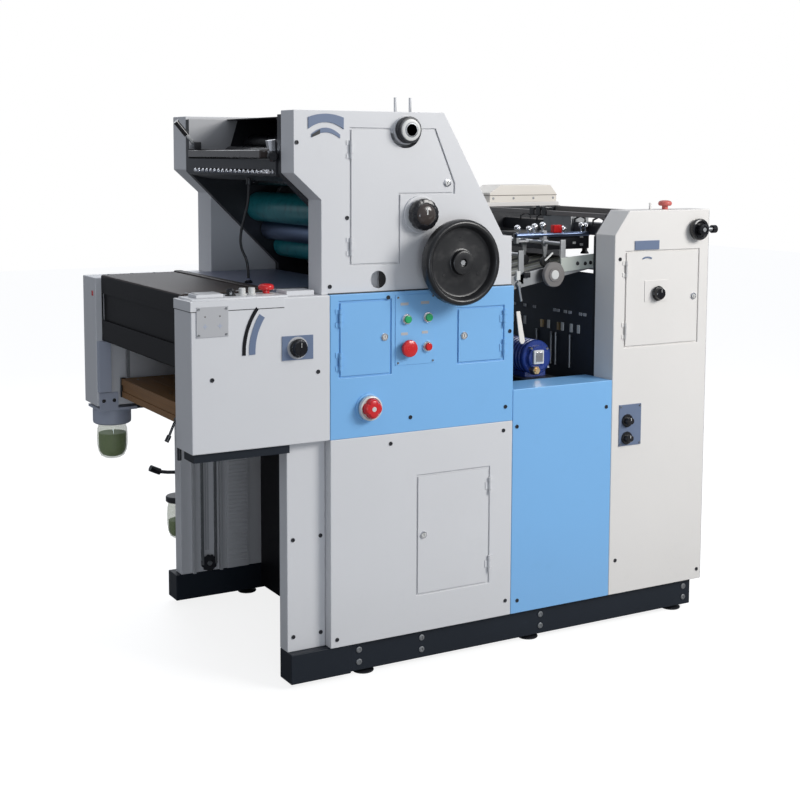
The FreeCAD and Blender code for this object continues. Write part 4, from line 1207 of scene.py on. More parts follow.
@dataclass
class Delivery:
    """Posts, side boxes, hood, hoist chains and the pile board of the delivery."""

    lid: float = 1104.0
    hood_low: float = 900.0
    hood_top: float = 1108.0
    plank: float = 82.5
    chain_sides: Pair = (95.0, 855.0)
    outer_falls: Pair = (158.0, 789.0)
    sprocket: Pair = (95.5, 118.0)

    def build(self) -> None:
        """Build every piece."""
        soften("delivery_posts", WHITE, Body.PRESS, *COVER_EDGE)
        soften("delivery_boxes", WHITE, Body.PRESS, 3.0, 9.0)
        soften("bay_back_plate", SHEET, Body.PRESS, 1.0)
        soften("pile_carrier", IRON, Body.PILE, 1.2)
        self.hood()
        self.lid_fittings()
        self.skirts()
        self.louvres()
        self.chains()
        self.board()

    def hood(self) -> None:
        """The bent sheet hood: black walls, a top in lighter brown as painted sheen, folded edges,
        a rolled lip.
        """
        maker = Maker("hood_sheet")
        left, low, top = -270.0, self.hood_low, self.hood_top
        near, far = 124.0, 823.0
        maker.pad(Axis.Y, [(left, top - 6), (left + 2, top - 1.2), (left + 8, top), (-2, top),
                           (-2, top - 4), (left + 10, top - 4), (left + 6, top - 8)],
                  (near, far), HOOD_TOP_SHEEN, 0.8)
        for zs, ys in (((low, 965), (near, far)), ((1050, top - 5), (near, far)),
                       ((965, 1050), (near, 180)), ((965, 1050), (817, far))):
            maker.block((left, left + 4), ys, zs, SHEET, 0.6)
        maker.block((left + 8, left + 11), (near + 2, far - 2), (low, top - 6), SHEET, 0.4)
        maker.block((left, left + 13), (near, far), (low, low + 3), SHEET, 0.8)
        for y in (near + 40, 350, 600, far - 40):
            maker.block((left + 12, -6), (y - 6, y + 6), (top - 8, top - 4), SHEET, 0.6)
        maker.pad(Axis.Y, [(-30, top), (-4, top), (-4, top + 3), (-8, top + 5), (-26, top + 5),
                           (-30, top + 3)], (near + 4, far - 4), HOOD_TOP_SHEEN, 0.8)
        screws = [(left + 20 + 75 * k, y, top) for k in range(4) for y in (near + 12, far - 12)]
        head = Shape("hood_screw")
        head.turn(Axis.Z, (0, 0), [(0, 2.2), (3.4, 2.0), (4.6, 0.9), (4.8, -0.5), (0, -0.5)],
                  IRON, 14)
        maker.repeat(head, screws, DULL, (0, 0, 3.0))
        maker.place(Body.PRESS, "delivery_hood")

    def lid_fittings(self) -> None:
        """What stands on the near box: raised plates, a knob and two white caps."""
        maker = Maker("lid_fittings")
        z = self.lid
        maker.blocks(((-262, -184), (32, 92), (z, z + 9), WHITE, 2.0),
                     ((-256, -190), (38, 86), (z + 9, z + 11), LIGHT_PLATE, 0.8),
                     ((0, 84), (28, 96), (z - 6, z + 8), WHITE, 2.0))
        maker.turn(Axis.Z, (-152, 60), [(0, z), (15, z), (15, z + 3), (11, z + 4), (11, z + 15),
                                        (9, z + 19), (0, z + 20)], BLACK, 32,
                   ripple(0.04, 12))
        for x in (-118, -90):
            maker.turn(Axis.Z, (x, 60), [(0, z), (12.5, z), (12.5, z + 3), (9.5, z + 4),
                                         (9.5, z + 18), (8, z + 20), (0, z + 20)], PALE, 28)
        maker.turn(Axis.Z, (-47, 60), [(10.3, z - 3), (10.3, z + 1.6), (12, z + 2.4),
                                       (19, z + 2.2), (23, z + 1.2), (24, z), (24, z - 1)], PALE,
                   40)
        maker.block((-291.4, -20), (-1.3, 125), (1072, 1098.8), WHITE, 1.4)
        # A thin black strip under the lid band's front: painted shadow of its overhang.
        maker.block((-290.5, -20), (-0.5, 124.6), (1070.2, 1072.4), CABLE, 0.2)
        maker.place(Body.PRESS)

    def skirts(self) -> None:
        """Dark channels under the side boxes, a red mark and the latch lever."""
        maker = Maker("box_skirts")
        maker.blocks(((-282, 0), (12, 84), (664, 689), SLATE, 1.5),
                     ((-150, 0), (866, 938), (664, 689), SLATE, 1.5),
                     ((-291.5, -288), (842, 858), (1040, 1056), RED, 1.2))
        maker.tube([(-280, 138, 762), (-288, 140, 752), (-296, 140, 734), (-304, 140, 716)], 3.6,
                   BLACK, 14)
        maker.tube([(-302, 140, 720), (-306, 140, 712), (-311, 140, 703)], 6.4, BLACK, 18)
        maker.rod(Axis.Y, (-281, 762), (118, 146), 6.0, IRON)
        maker.place(Body.PRESS)

    def louvres(self) -> None:
        """The far wall's panel with pressed slots, and the strips beside the chains."""
        maker = Maker("louvred_wall")
        maker.block((162, 243), (862.4, 866), BAY_HEIGHT, WHITE, 0.8)
        slat = Shape("pressed_slot")
        slat.pad(Axis.X, [(0, -3.0), (-3.4, -3.0), (-3.8, -2.0), (-0.4, 3.0), (0, 3.0)],
                 (-33, 33), WHITE, 0.3)
        spots = row((202.5, 862.6, 112), (202.5, 862.6, 664), 43)
        maker.repeat(slat, spots, WHITE)
        for x in (88, 96):
            maker.block((x - 3, x + 3), (865, 866.4), (160, 689), LIGHT_PLATE, 0.3)
        for x in (44, 140):
            for ys in ((854, 866), (84, 96)):
                maker.block((x - 5, x + 5), ys, BAY_HEIGHT, LIGHT_PLATE, 0.8)
        maker.place(Body.PRESS, "louvred_panel")

    def chains(self) -> None:
        """Roller chain on toothed sprockets, link by link, and the two outer falls."""
        maker = Maker("roller_chains")
        link = Shape("link")
        for ys in ((-4.6, -3.2), (3.2, 4.6)):
            link.pad(Axis.Y, square((-3.6, 3.6), (-8.6, 8.6)), ys, DULL, 0.5, 1)
        link.turn(Axis.Y, (0, 7.5), [(0, -5.4), (2.2, -5.4), (2.2, -3.2), (4.0, -3.0), (4.0, 3.0),
                                     (2.2, 3.2), (2.2, 5.4), (0, 5.4)], DULL, 8)
        spots = []
        for y in self.chain_sides:
            for x in (72.0, 119.0):
                spots += row((x, y, 122), (x, y, 677), 38)
        for y in self.outer_falls:
            spots += row((-197, y, 790), (-197, y, 1092), 21)
        maker.repeat(link, spots, DULL)
        for y in self.chain_sides:
            maker.turn(Axis.Y, self.sprocket, [(8, y - 3), (27, y - 3), (27.5, y), (27, y + 3),
                                               (8, y + 3)], IRON, 88,
                       ripple(0.055, 11))
            inner, outer = (84, y + 8) if y < 400 else (y - 8, 866)
            maker.rod(Axis.Y, self.sprocket, (inner, outer), 8.4, DULL)
        maker.place(Body.PRESS, "hoist_chains")

    def board(self) -> None:
        """The pile board: three layers of planks that run into the press."""
        maker = Maker("planked_board")
        left, right, near, far = -215.0, 280.0, 150.0, 812.0
        count = round((right - left) / self.plank)
        step = (right - left) / count
        for layer, (low, high) in enumerate(((755.0, 775.0), (735.0, 754.4), (715.0, 734.4))):
            shift = (0.0, 3.4, 1.2)[layer]
            for k in range(count):
                start = left + k * step + (shift if k == 0 else 0.6)
                stop = left + (k + 1) * step - 0.6
                maker.block((start, stop), (near + shift, far - shift), (low, high), WOOD, 1.4)
        maker.block((left - 2, left + 5), (far - 7, far + 1), (715, 777), BLACK, 1.2)
        maker.block((left - 2, left + 14), (far - 7, far + 1), (775, 778), BLACK, 0.8)
        heads = Shape("board_screw")
        heads.turn(Axis.Z, (0, 0), [(0, 0.3), (3.4, 0.4), (4.2, 0.1), (4.2, -1), (0, -1)], IRON, 12)
        spots = [(left + (k + 0.5) * step, y, 775.0)
                 for k in range(count) for y in (near + 44, 476, far - 44)]
        maker.repeat(heads, spots, DULL, (0, 0, 3.0))
        maker.place(Body.PILE, "pile_board")


# ------------------------------------------------------------------ printing tower

@dataclass
class Tower:
    """Cylinders, rollers, ink fountain, lever, guard and deck; the hanging cable is built on its
    own.
    """

    inner: Pair = (128.0, 792.0)
    outer: Pair = (98.0, 822.0)
    radius: float = 88.0
    journal: float = 22.0
    bearer: float = 22.0
    blanket: Pair = (503.0, 1180.0)
    plate: Pair = (397.46, 1321.59)
    impression: Pair = (600.21, 1032.57)
    upper: Pair = (260.07, 1316.07)
    steel: Pair = (298.04, 1240.58)
    lower: Pair = (346.64, 1185.45)
    train: tuple[tuple[float, float, float], ...] = (
        (160, 1482, 30), (232, 1420, 34), (330, 1436, 40), (345, 1540, 28), (232, 1520, 30),
        (415, 1500, 30))

    def build(self) -> None:
        """Build every piece."""
        self.cylinders()
        self.rollers()
        self.fountain()
        self.keys()
        self.lever()
        soften("tower_guard", SHEET, Body.PRESS, 0.8)
        soften("tower_deck", DECK_REFLECTION, Body.PRESS, 0.8)
        self.deck_fittings()

    def barrel(self, centre: Pair, radius: float, journal: float, finish: Finish, trim: Finish,
               maker: Maker, bearer: float = 0.0) -> None:
        """A barrel with its journals, and bearer rings where it has them.

        Args:
            centre: where its axis passes.
            radius: of the barrel.
            journal: radius of the journals.
            finish: of the barrel.
            trim: of the journals and rings.
            maker: the piece that it joins.
            bearer: how wide the bearer rings are, or 0.
        """
        low, high = self.inner
        start, stop = low + bearer, high - bearer
        maker.turn(Axis.Y, centre, [(journal, start), (radius - 3, start), (radius - 1, start + 1),
                                    (radius - 0.4, start + 4), (radius - 0.4, stop - 4),
                                    (radius - 1, stop - 1), (radius - 3, stop), (journal, stop)],
                   finish, 72)
        for one, two in ((self.outer[0], start), (stop, self.outer[1])):
            maker.turn(Axis.Y, centre, [(0, one), (journal - 1, one), (journal, one + 1),
                                        (journal, two - 1), (journal - 1, two), (0, two)],
                       trim, 32)
        if bearer:
            for one in (low, high - bearer):
                two = one + bearer
                maker.turn(Axis.Y, centre, [(journal, one + 1), (radius - 1, one + 1),
                                            (radius, one + 2), (radius, two - 2),
                                            (radius - 1, two - 1), (journal, two - 1)], BRIGHT, 72)

    def cylinders(self) -> None:
        """The three printing cylinders, each on its own body, with clamp bars in a gap."""
        for name, centre, finish, node in (
                ("plate_barrel", self.plate, BRIGHT, "plate_cylinder"),
                ("impression_barrel", self.impression, BRIGHT, "impression_cylinder"),
                ("blanket_barrel", self.blanket, BLUED, "blanket_cylinder")):
            maker = Maker(name)
            self.barrel(centre, self.radius, self.journal, finish, DULL, maker, self.bearer)
            lock = Shape(name + "_clamp")
            lock.turn(Axis.Z, (0, 0), [(0, 1.6), (2.6, 1.6), (3.2, 3.2), (6.4, 3.2), (7.0, 2.4),
                                       (7.0, -2), (0, -2)], IRON, 6)
            spots = row((centre[0], 190, centre[1] + 84.4), (centre[0], 730, centre[1] + 84.4), 9)
            maker.repeat(lock, spots, DULL, (0, 0, 1.0))
            maker.place(PRINTING[node], node)

    def rollers(self) -> None:
        """The three coloured rollers on their bodies, and the black train behind them."""
        for node, centre, radius, finish in (("ink_roller_upper", self.upper, 49.0, GREEN),
                                             ("ink_roller_steel", self.steel, 35.0, BLUED),
                                             ("ink_roller_lower", self.lower, 38.0, GREEN)):
            maker = Maker(node + "_barrel")
            self.barrel(centre, radius, 12.0, finish, BRIGHT, maker)
            maker.place(PRINTING[node], node)
        maker = Maker("roller_train_barrels")
        for x, z, radius in self.train:
            maker.turn(Axis.Y, (x, z), [(0, 122.5), (9, 122.5), (9, 134), (radius - 2, 134.5),
                                        (radius, 137), (radius, 783), (radius - 2, 785.5),
                                        (9, 786), (9, 797.5), (0, 797.5)], INKED, 56)
        maker.place(Body.PRESS, "roller_train")

    def fountain(self) -> None:
        """The ink trough with its blade, bright top bar and the duct's end fittings."""
        maker = Maker("fountain_trough")
        span = (122.4, 797.6)
        maker.pad(Axis.Y, [(12, 1425), (70, 1408), (128, 1452), (128, 1472), (112, 1474),
                           (76, 1446), (60, 1472), (12, 1472)], span, IRON, 1.6)
        maker.pad(Axis.Z, [(-24, 150), (12, 150), (44, 780), (8, 780)], (1476, 1498), GLAZED,
                  4.0, 3)
        maker.pad(Axis.Y, [(76, 1447), (112, 1475), (110, 1477), (74, 1449)], (134, 786), BRIGHT,
                  0.3)
        maker.rod(Axis.Y, (88, 1484), (126, 794), 15, INKED, 2.0, 40)
        maker.pad(Axis.Y, [(-10, 1524), (16, 1527), (30, 1470), (2, 1466)], (128, 142), CHROME,
                  3.0, 3)
        maker.turn(Axis.Y, (2, 1480), [(0, 112), (12, 112), (15, 115), (15, 124), (11, 127),
                                       (11, 130), (0, 130)], BLACK, 36,
                   ripple(0.03, 14))
        maker.block((20, 44), (755, 765), (1495, 1524), IRON, 2.0)
        maker.rod(Axis.Z, (52, 400), (1396, 1424), 8, IRON, 1.5)
        maker.place(Body.PRESS, "ink_fountain")

    def keys(self) -> None:
        """Eighteen knurled key screws in a row along the trough, with their collars."""
        key = Shape("ink_key")
        key.turn(Axis.X, (0, 0), [(0, -25.5), (3.6, -25.5), (5.4, -23.6), (6.2, -21), (6.2, -13),
                                  (5.8, -11.5), (3.6, -11), (3.6, -5), (6, -4.6), (6, -0.4),
                                  (0, -0.4)], CHROME, 22, ripple(0.045, 11))
        maker = Maker("ink_key_screws")
        spots = row((12, 135, 1437), (12, 672, 1437), 18)
        maker.repeat(key, spots, CHROME, (1.0, 0, 0), 5)
        maker.place(Body.PRESS, "ink_keys")

    def lever(self) -> None:
        """The ductor lever: a bent steel arm with a black moulded grip."""
        maker = Maker("ductor_lever")
        maker.rod(Axis.Y, (32, 1512), (756, 786), 8.6, DULL, 1.2)
        maker.pad(Axis.Y, [(28.5, 1508.5), (-1.5, 1543.5), (5.5, 1549.5), (35.5, 1514.5)],
                  (772, 780), DULL, 1.2)
        start, stop = Vector((2, 776, 1546.5)), Vector((-31, 776, 1585))
        path = [start.lerp(stop, k / 6) for k in range(7)]
        maker.tube(path, 8.6, BLACK, 20)
        maker.tube([stop, stop + Vector((-2.6, 0, 3.0))], 10.2, BLACK, 20)
        maker.place(Body.LEVER, "fountain_lever")

    def deck_fittings(self) -> None:
        """The deck's rib and cable gland, and a pale plate of painted light inside the far cover.
        """
        maker = Maker("deck_fittings")
        maker.block((6, 320), (140, 148), (1104, 1109), DULL, 1.0)
        maker.turn(Axis.Z, (40, 380), [(0, 1104), (11, 1104), (12, 1106), (12, 1110), (8.5, 1112),
                                       (6.5, 1119.5), (0, 1119.5)], BLACK, 24)
        # A pale plate on the inner face of the far side frame: painted light on that face.
        maker.pad(Axis.Y, [(18, 1500), (157, 1500), (187, 1597), (18, 1597)], (795.6, 798),
                  LIGHT_PLATE, 0.6)
        maker.place(Body.PRESS)


class Press(Enum):
    """Bodies of the cylinders and rollers that turn with the handwheel."""

    PLATE = "plate"
    IMPRESSION = "impression"
    UPPER = "upper_roller"
    STEEL = "steel_roller"
    LOWER = "lower_roller"


PRINTING = {"plate_cylinder": Press.PLATE, "impression_cylinder": Press.IMPRESSION,
            "blanket_cylinder": Body.BLANKET, "ink_roller_upper": Press.UPPER,
            "ink_roller_steel": Press.STEEL, "ink_roller_lower": Press.LOWER}


@dataclass
class Cable:
    """The cable that hangs from the fountain's gland to the deck."""

    radius: float = 4.0
    route: tuple[Spot, ...] = ((52, 400, 1396), (52, 400, 1352), (38, 398, 1304),
                               (22, 394, 1256), (18, 388, 1210), (40, 380, 1165),
                               (40, 380, 1119))

    def build(self) -> None:
        """Lay the cable as one smooth spline."""
        curve = bpy.data.curves.new("fountain_lead", "CURVE")
        curve.dimensions = "3D"
        curve.bevel_depth = self.radius * MM
        curve.bevel_resolution = 4
        curve.use_fill_caps = True
        spline = curve.splines.new("NURBS")
        spline.points.add(len(self.route) - 1)
        for point, spot in zip(spline.points, self.route):
            point.co = (*DATUM.at(spot), 1.0)
        spline.order_u = 3
        spline.use_endpoint_u = True
        spline.resolution_u = 16
        curve.materials.append(CABLE.material())
        lead = bpy.data.objects.new("fountain_lead", curve)
        show(lead)
        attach(lead, Body.PRESS.value)
        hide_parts("fountain_cable")
        tuple(DATUM.at(self.route[0]))


# ------------------------------------------------------------------ operator's controls

@dataclass
class Handwheel:
    """The black dished handwheel on the blanket cylinder's shaft."""

    centre: Pair = (503.0, 1180.0)
    face: float = -90.0
    boss_ring: float = 66.0

    def build(self) -> None:
        """Turn the wheel, its hub cap and its small bosses."""
        maker = Maker("handwheel_disc")
        f = self.face
        maker.turn(Axis.Y, self.centre, [
            (0, f + 13), (9, f + 13), (11, f + 12), (12, f + 5), (30, f + 4), (33.4, f + 6),
            (34.5, f + 12), (36, f + 17), (42, f + 20), (92, f + 21), (98, f + 19),
            (102, f + 12), (105, f + 4), (109, f + 0.8), (114, f + 0.1), (119, f + 2.2),
            (122.6, f + 7), (123.9, f + 14), (123.9, f + 28), (122.4, f + 35), (118, f + 39.4),
            (112, f + 40), (105, f + 38), (102, f + 32), (44, f + 31), (34, f + 34), (34, f + 50),
            (20, f + 50), (20, 96.4), (0, 96.4)], WHEEL_BLACK, 96)
        maker.turn(Axis.Y, self.centre, [(0, f + 9.5), (8, f + 9.5), (9.5, f + 11), (9.5, f + 14),
                                         (0, f + 14)], DULL, 6)
        maker.turn(Axis.Y, self.centre, [(0, 8), (28, 8), (30, 10), (30, 15.2),
                                         (0, 15.2)], IRON, 40)
        rib = Shape("web_boss")
        rib.turn(Axis.Y, (0, 0), [(0, -1.4), (5, -1.4), (6.4, -0.4), (6.6, 1.5), (0, 1.5)], BLACK,
                 20)
        x, z = self.centre
        spots = [(x + self.boss_ring * math.cos(a), f + 21, z + self.boss_ring * math.sin(a))
                 for a in (math.radians(90 + 120 * k) for k in range(3))]
        maker.repeat(rib, spots, WHEEL_BLACK)
        maker.place(Body.BLANKET, "handwheel")


@dataclass
class Knobs:
    """The turning knobs, the feeder's side wheel and the emergency stops."""

    def build(self) -> None:
        """Build every knob on its own body."""
        self.water()
        self.ring()
        self.pointer("delivery_grip", DELIVERY_AXIS, -8.0, 26.0, 22.0, Body.DELIVERY,
                     "delivery_knob", 30.0)
        self.pointer("feeder_grip", (1283, 1050), -7.0, 24.0, 20.0, Body.FEEDER, "feeder_knob",
                     6.0)
        self.pressure()
        self.side_wheel()
        self.stop("delivery_stop", (-47, 60), 1133.0, 1098.0, Body.STOP_DELIVERY,
                  "emergency_stop_delivery", RED)
        self.stop("feeder_stop", (1353, 50), 1343.0, 1314.0, Body.STOP_FEEDER,
                  "emergency_stop_feeder", FADED_RED)

    def water(self) -> None:
        """The big black scalloped knob of the water motion, with its glossy cap."""
        maker = Maker("water_grip")
        centre = WATER_AXIS
        maker.turn(Axis.Y, centre, [(12, 4), (42, 4), (44.6, 1.6), (45.6, -3), (45.6, -15),
                                    (43.4, -19), (38, -21), (31, -22)], BLACK, 120,
                   lambda a: 1 - 0.035 * max(0.0, math.cos(10 * a)) ** 2)
        maker.turn(Axis.Y, centre, [(0, -29.8), (14, -29.6), (24, -27.6), (30, -23.6),
                                    (31.5, -20), (31.5, -12), (0, -12)], GLAZED, 48)
        maker.rod(Axis.Y, centre, (3, 54), 12.1, DULL)
        maker.block((centre[0] - 2, centre[0] + 2), (-30.4, -27.8), (centre[1], centre[1] + 22),
                    PALE, 0.6)
        maker.place(Body.WATER, "water_knob")

    def ring(self) -> None:
        """The micrometer ring: a knurled rim in dark iron, partly painted shade, a pale band, a
        steel dish.
        """
        maker = Maker("micrometer_ring")
        centre = RING_AXIS
        # The rim's dark iron is partly painted shade for the shadow round the knob's edge.
        maker.turn(Axis.Y, centre, [(8.2, 10), (35, 10), (37.4, 8), (37.6, 4), (37.6, -9),
                                    (35.4, -12), (31, -13)], IRON, 96,
                   ripple(0.012, 48))
        maker.turn(Axis.Y, centre, [(31, -13), (29.6, -17), (21, -18.6)], PALE, 56)
        maker.turn(Axis.Y, centre, [(21, -18.6), (19, -19.9), (17, -19.9), (16, -16), (0, -16)],
                   DULL, 56)
        maker.turn(Axis.Y, centre, [(0, -18.6), (9, -18.6), (10.5, -17), (10.5, -15), (0, -15)],
                   IRON, 6)
        maker.rod(Axis.Y, centre, (9, 44.6), 8.2, DULL)
        maker.place(Body.RING, "ring_knob")

    def pointer(self, name: str, centre: Pair, back: float, radius: float, deep: float,
                body: Body, node: str, stem: float) -> None:
        """A black pointer knob: a fluted skirt with a raised bar.

        Args:
            name: the piece's name.
            centre: its axis.
            back: the station of its back face.
            radius: of its skirt.
            deep: how far it stands out.
            body: the body it rides on.
            node: the frame node it replaces.
            stem: how far its shaft goes in.
        """
        maker = Maker(name)
        front = back - deep
        maker.turn(Axis.Y, centre, [(5, back), (radius - 1, back), (radius, back - 1),
                                    (radius, back - 4), (radius - 2.5, back - 6.5),
                                    (radius - 4, back - 7), (radius - 6, front + 3),
                                    (radius - 8.4, front + 1.2), (0, front + 1.2)], BLACK, 80,
                   lambda a: 1 - 0.03 * max(0.0, math.cos(16 * a)))
        x, z = centre
        maker.pad(Axis.Y, [(x - 4.2, z - radius + 8), (x + 4.2, z - radius + 8),
                           (x + 2.4, z + radius - 7), (x - 2.4, z + radius - 7)],
                  (front, front + 9), BLACK, 1.0)
        maker.block((x - 0.7, x + 0.7), (front - 0.3, front + 1), (z + 4, z + radius - 9), PALE,
                    0.2)
        maker.rod(Axis.Y, centre, (back - 0.5, stem), 5.2, DULL)
        maker.place(body, node)

    def pressure(self) -> None:
        """The red pressure knob: a pale rim round a red four-lobed grip."""
        maker = Maker("pressure_grip")
        centre = PRESSURE_AXIS
        maker.turn(Axis.Y, centre, [(8, -9), (34, -9), (35.8, -11), (36, -18), (34.6, -22),
                                    (31, -23.4), (29.6, -21), (28, -19.5), (0, -19.5)], PALE, 72)
        maker.turn(Axis.Y, centre, [(0, -19), (29, -19), (28.6, -30), (26.6, -35), (22, -38.4),
                                    (12, -39), (0, -38)], RED, 96,
                   lambda a: 0.80 + 0.20 * abs(math.cos(2 * a)) ** 0.7)
        maker.turn(Axis.Y, centre, [(0, -39.4), (6.4, -39.4), (7.4, -38.4), (7.4, -37), (0, -37)],
                   PALE, 28)
        maker.rod(Axis.Y, centre, (-9.5, 35), 8.2, DULL)
        maker.place(Body.PRESSURE, "pressure_knob")

    def side_wheel(self) -> None:
        """The black wheel at the feeder's corner, with a hub, a bolt and a handle stub."""
        maker = Maker("side_wheel_disc")
        centre = (1442.0, 1250.0)
        maker.turn(Axis.Y, centre, [(6, -6), (31, -6), (34, -8), (35, -12), (35, -20),
                                    (33, -24.6), (29, -26), (25.6, -24), (24, -20), (18.4, -19.6),
                                    (18, -38), (15.4, -41.4), (11, -42), (10, -39), (0, -39)],
                   BLACK, 72)
        maker.turn(Axis.Y, centre, [(0, -42.6), (7.4, -42.6), (8.4, -41.6), (8.4, -38), (0, -38)],
                   DULL, 6)
        maker.rod(Axis.Y, centre, (-7, 39), 6.2, DULL)
        maker.place(Body.SIDE_WHEEL, "feeder_wheel")

    def stop(self, name: str, centre: Pair, top: float, hole: float, body: Body, node: str,
             finish: Finish) -> None:
        """A mushroom stop button on its plunger.

        Args:
            name: the piece's name.
            centre: its axis.
            top: height of its crown.
            hole: height of the face that it goes into.
            body: the body it rides on.
            node: the frame node it replaces.
            finish: of its head.
        """
        maker = Maker(name)
        maker.turn(Axis.Z, centre, [(9.6, top - 18), (17, top - 17.6), (20.6, top - 15.4),
                                    (21.9, top - 11.6), (21.6, top - 7.4), (19.4, top - 3.8),
                                    (14, top - 1.2), (7, top - 0.2), (0, top)], finish, 56)
        maker.turn(Axis.Z, centre, [(0, hole - 28), (9.2, hole - 28), (9.6, hole - 27),
                                    (9.6, top - 17.6)], finish, 32)
        maker.place(body, node)


@dataclass
class Buttons:
    """Push buttons, rotary switches, name plates, dials and collars of the operator's side."""

    def build(self) -> None:
        """Build every piece."""
        self.buttons()
        self.plates()

    def buttons(self) -> None:
        """Two green starts, a red stop, a red mushroom and two rotary switches."""
        maker = Maker("push_button_set")
        for x, z, finish in ((363, 1018, BUTTON_GREEN), (433, 1020, BUTTON_GREEN),
                             (432, 935, RED)):
            maker.turn(Axis.Y, (x, z), [(0, -2), (16.4, -2), (16.4, -5), (15.4, -7.5),
                                        (13.4, -9.5), (11.6, -9.8), (11, -8)], CHROME, 48)
            maker.turn(Axis.Y, (x, z), [(11, -7.5), (10.8, -14), (9.6, -15.6), (5, -16), (0, -16)],
                       finish, 40)
        x, z = 364, 935
        maker.turn(Axis.Y, (x, z), [(0, -2), (16.8, -2), (16.8, -6), (14, -9), (11, -9.4),
                                    (11, -14)], BLACK, 48)
        maker.turn(Axis.Y, (x, z), [(10, -13), (22, -14), (24.8, -16.6), (25, -21), (23, -25),
                                    (16, -27.6), (8, -28), (0, -28)], RED, 56)
        for x, z in ((1172, 649), (1171, 593)):
            maker.turn(Axis.Y, (x, z), [(0, -3), (20.8, -3), (20.8, -7), (18, -9.6), (15, -10)],
                       BLACK, 48)
            maker.turn(Axis.Y, (x, z), [(15, -9.8), (14.4, -22), (12.4, -23.8), (0, -24)],
                       BLACK, 40, lambda a: 0.62 + 0.38 * abs(math.cos(a)))
            maker.block((x - 1, x + 1), (-24.6, -23.4), (z + 2, z + 11), PALE, 0.2)
        maker.place(Body.PRESS, "push_buttons")

    def plates(self) -> None:
        """Plates, dials and collars, with marks that are no letters."""
        maker = Maker("panel_plate_set")
        maker.turn(Axis.Y, WATER_AXIS, [(13, 15), (54, 15), (54, 11.4), (52.4, 9.6), (50, 9),
                                        (13, 9)], WHITE, 72)
        maker.turn(Axis.Y, PRESSURE_AXIS, [(9, 0), (40, 0), (40, -2.6), (38.6, -3.8), (37, -4),
                                           (9, -4)], BLUE, 64)
        maker.turn(Axis.Y, RING_AXIS, [(8.6, 15.2), (40.6, 15.2), (40.6, 12.6), (39.4, 11.6),
                                       (8.6, 11.4)], WHITE, 64)
        maker.block((-28, 66), (-3, 0), (925, 992), PLATE_GREY, 0.8)
        maker.turn(Axis.Y, DELIVERY_AXIS, [(0, -2.6), (31, -2.6), (31, -3.6), (30, -4),
                                           (5.6, -4), (5.6, -2.6)], LIGHT_PLATE, 56)
        maker.blocks(((327, 459), (-2, 0), (886, 1088), BLUE, 0.6),
                     ((-275, -185), (-3, 0), (1003, 1084), LIGHT_PLATE, 0.8),
                     ((1191, 1289), (-3, 0), (1190, 1219), PLATE_GREY, 0.8),
                     ((1141, 1229), (-3, 0), (568, 700), PLATE_GREY, 0.8),
                     ((-288, -247), (805, 823), (735, 898), SENSOR, 2.0),
                     ((-286, -268), (124, 134), (692, 720), IRON, 1.0))
        maker.rod(Axis.Z, (-277, 132), (650, 700), 6, IRON)
        maker.pad(Axis.Y, [*bow((60, 1587), (114, 1597), (169, 1587)),
                           *bow((169, 1555), (114, 1574), (60, 1555))], (12, 15), PLATE_GREY, 0.6)
        maker.pad(Axis.Y, [*bow((70, 1541), (114, 1559), (158, 1540)),
                           *bow((158, 1530), (114, 1546), (70, 1531))], (12.6, 15), PLATE_GREY,
                  0.4)
        maker.pad(Axis.Y, [(71, 1540), (96, 1554), (96, 1542), (71, 1532)], (12.2, 12.8), IRON)
        # A dark half disc inside the round sight hole: painted shade on one half of the hole.
        maker.pad(Axis.Y, [(284, 1109), *[(280 + 25.3 * math.cos(a), 1134 + 25.3 * math.sin(a))
                                          for a in (math.radians(-80 + 20 * k)
                                                    for k in range(9))], (284, 1159)],
                  (16.4, 18), SHEET)
        self.marks(maker)
        spots = [(x, -2, z) for x in (335, 451) for z in (893, 1081)]
        spots += [(x, -3, z) for x in (-269, -191) for z in (1009, 1078)]
        spots += [(x, -3, z) for x in (1147, 1223) for z in (574, 694)]
        maker.repeat(screw("plate_screw", Axis.Y, 3.2, -1), spots, DULL, (0, ANY_TURN, 0), 9)
        maker.place(Body.PRESS, "panel_plates")

    def marks(self, maker: Maker) -> None:
        """Pale legend blocks, small lobed symbols and the arcs beside two knobs."""
        for x, z, wide in ((356, 1062, 26), (424, 1063, 28), (356, 976, 22), (424, 977, 20)):
            maker.block((x - wide / 2, x + wide / 2), (-2.6, -1.8), (z - 4, z + 4), LIGHT_PLATE,
                        0.3)
        for x, z in ((-251, 1058), (-209, 1058)):
            maker.block((x - 2, x + 2), (-3.4, -2.8), (z - 2, z + 2), GREY_CAST, 0.2)
            maker.turn(Axis.Y, (x, z - 26), [(0, -3.4), (7, -3.4), (7, -2.8), (0, -2.8)],
                       SENSOR, 24, lambda a: 0.7 + 0.3 * math.cos(4 * a))
        self.arc(maker, (59, 954), 199, (143, 182), -1.2, 10.0, BLACK)
        self.arc(maker, (59, 954), 175, (146, 182), -1.2, 18.0, PLATE_GREY)
        self.arc(maker, (1242, 1128), 38, (118, 62), -1.4, 5.0, PLATE_GREY)

    def arc(self, maker: Maker, centre: Pair, radius: float, ends: Pair, front: float,
            wide: float, finish: Finish) -> None:
        """A flat curved band between two directions.

        Args:
            maker: the piece that it joins.
            centre: the middle of its circle.
            radius: the circle's radius.
            ends: its first and last direction in degrees.
            front: the station of its face.
            wide: its width.
            finish: its finish.
        """
        angles = [math.radians(ends[0] + (ends[1] - ends[0]) * k / 16) for k in range(17)]
        outer = [(centre[0] + (radius + wide / 2) * math.cos(a),
                  centre[1] + (radius + wide / 2) * math.sin(a)) for a in angles]
        inner = [(centre[0] + (radius - wide / 2) * math.cos(a),
                  centre[1] + (radius - wide / 2) * math.sin(a)) for a in angles]
        maker.pad(Axis.Y, [*outer, *inner[::-1]], (front - 0.6, front + 1.6), finish)


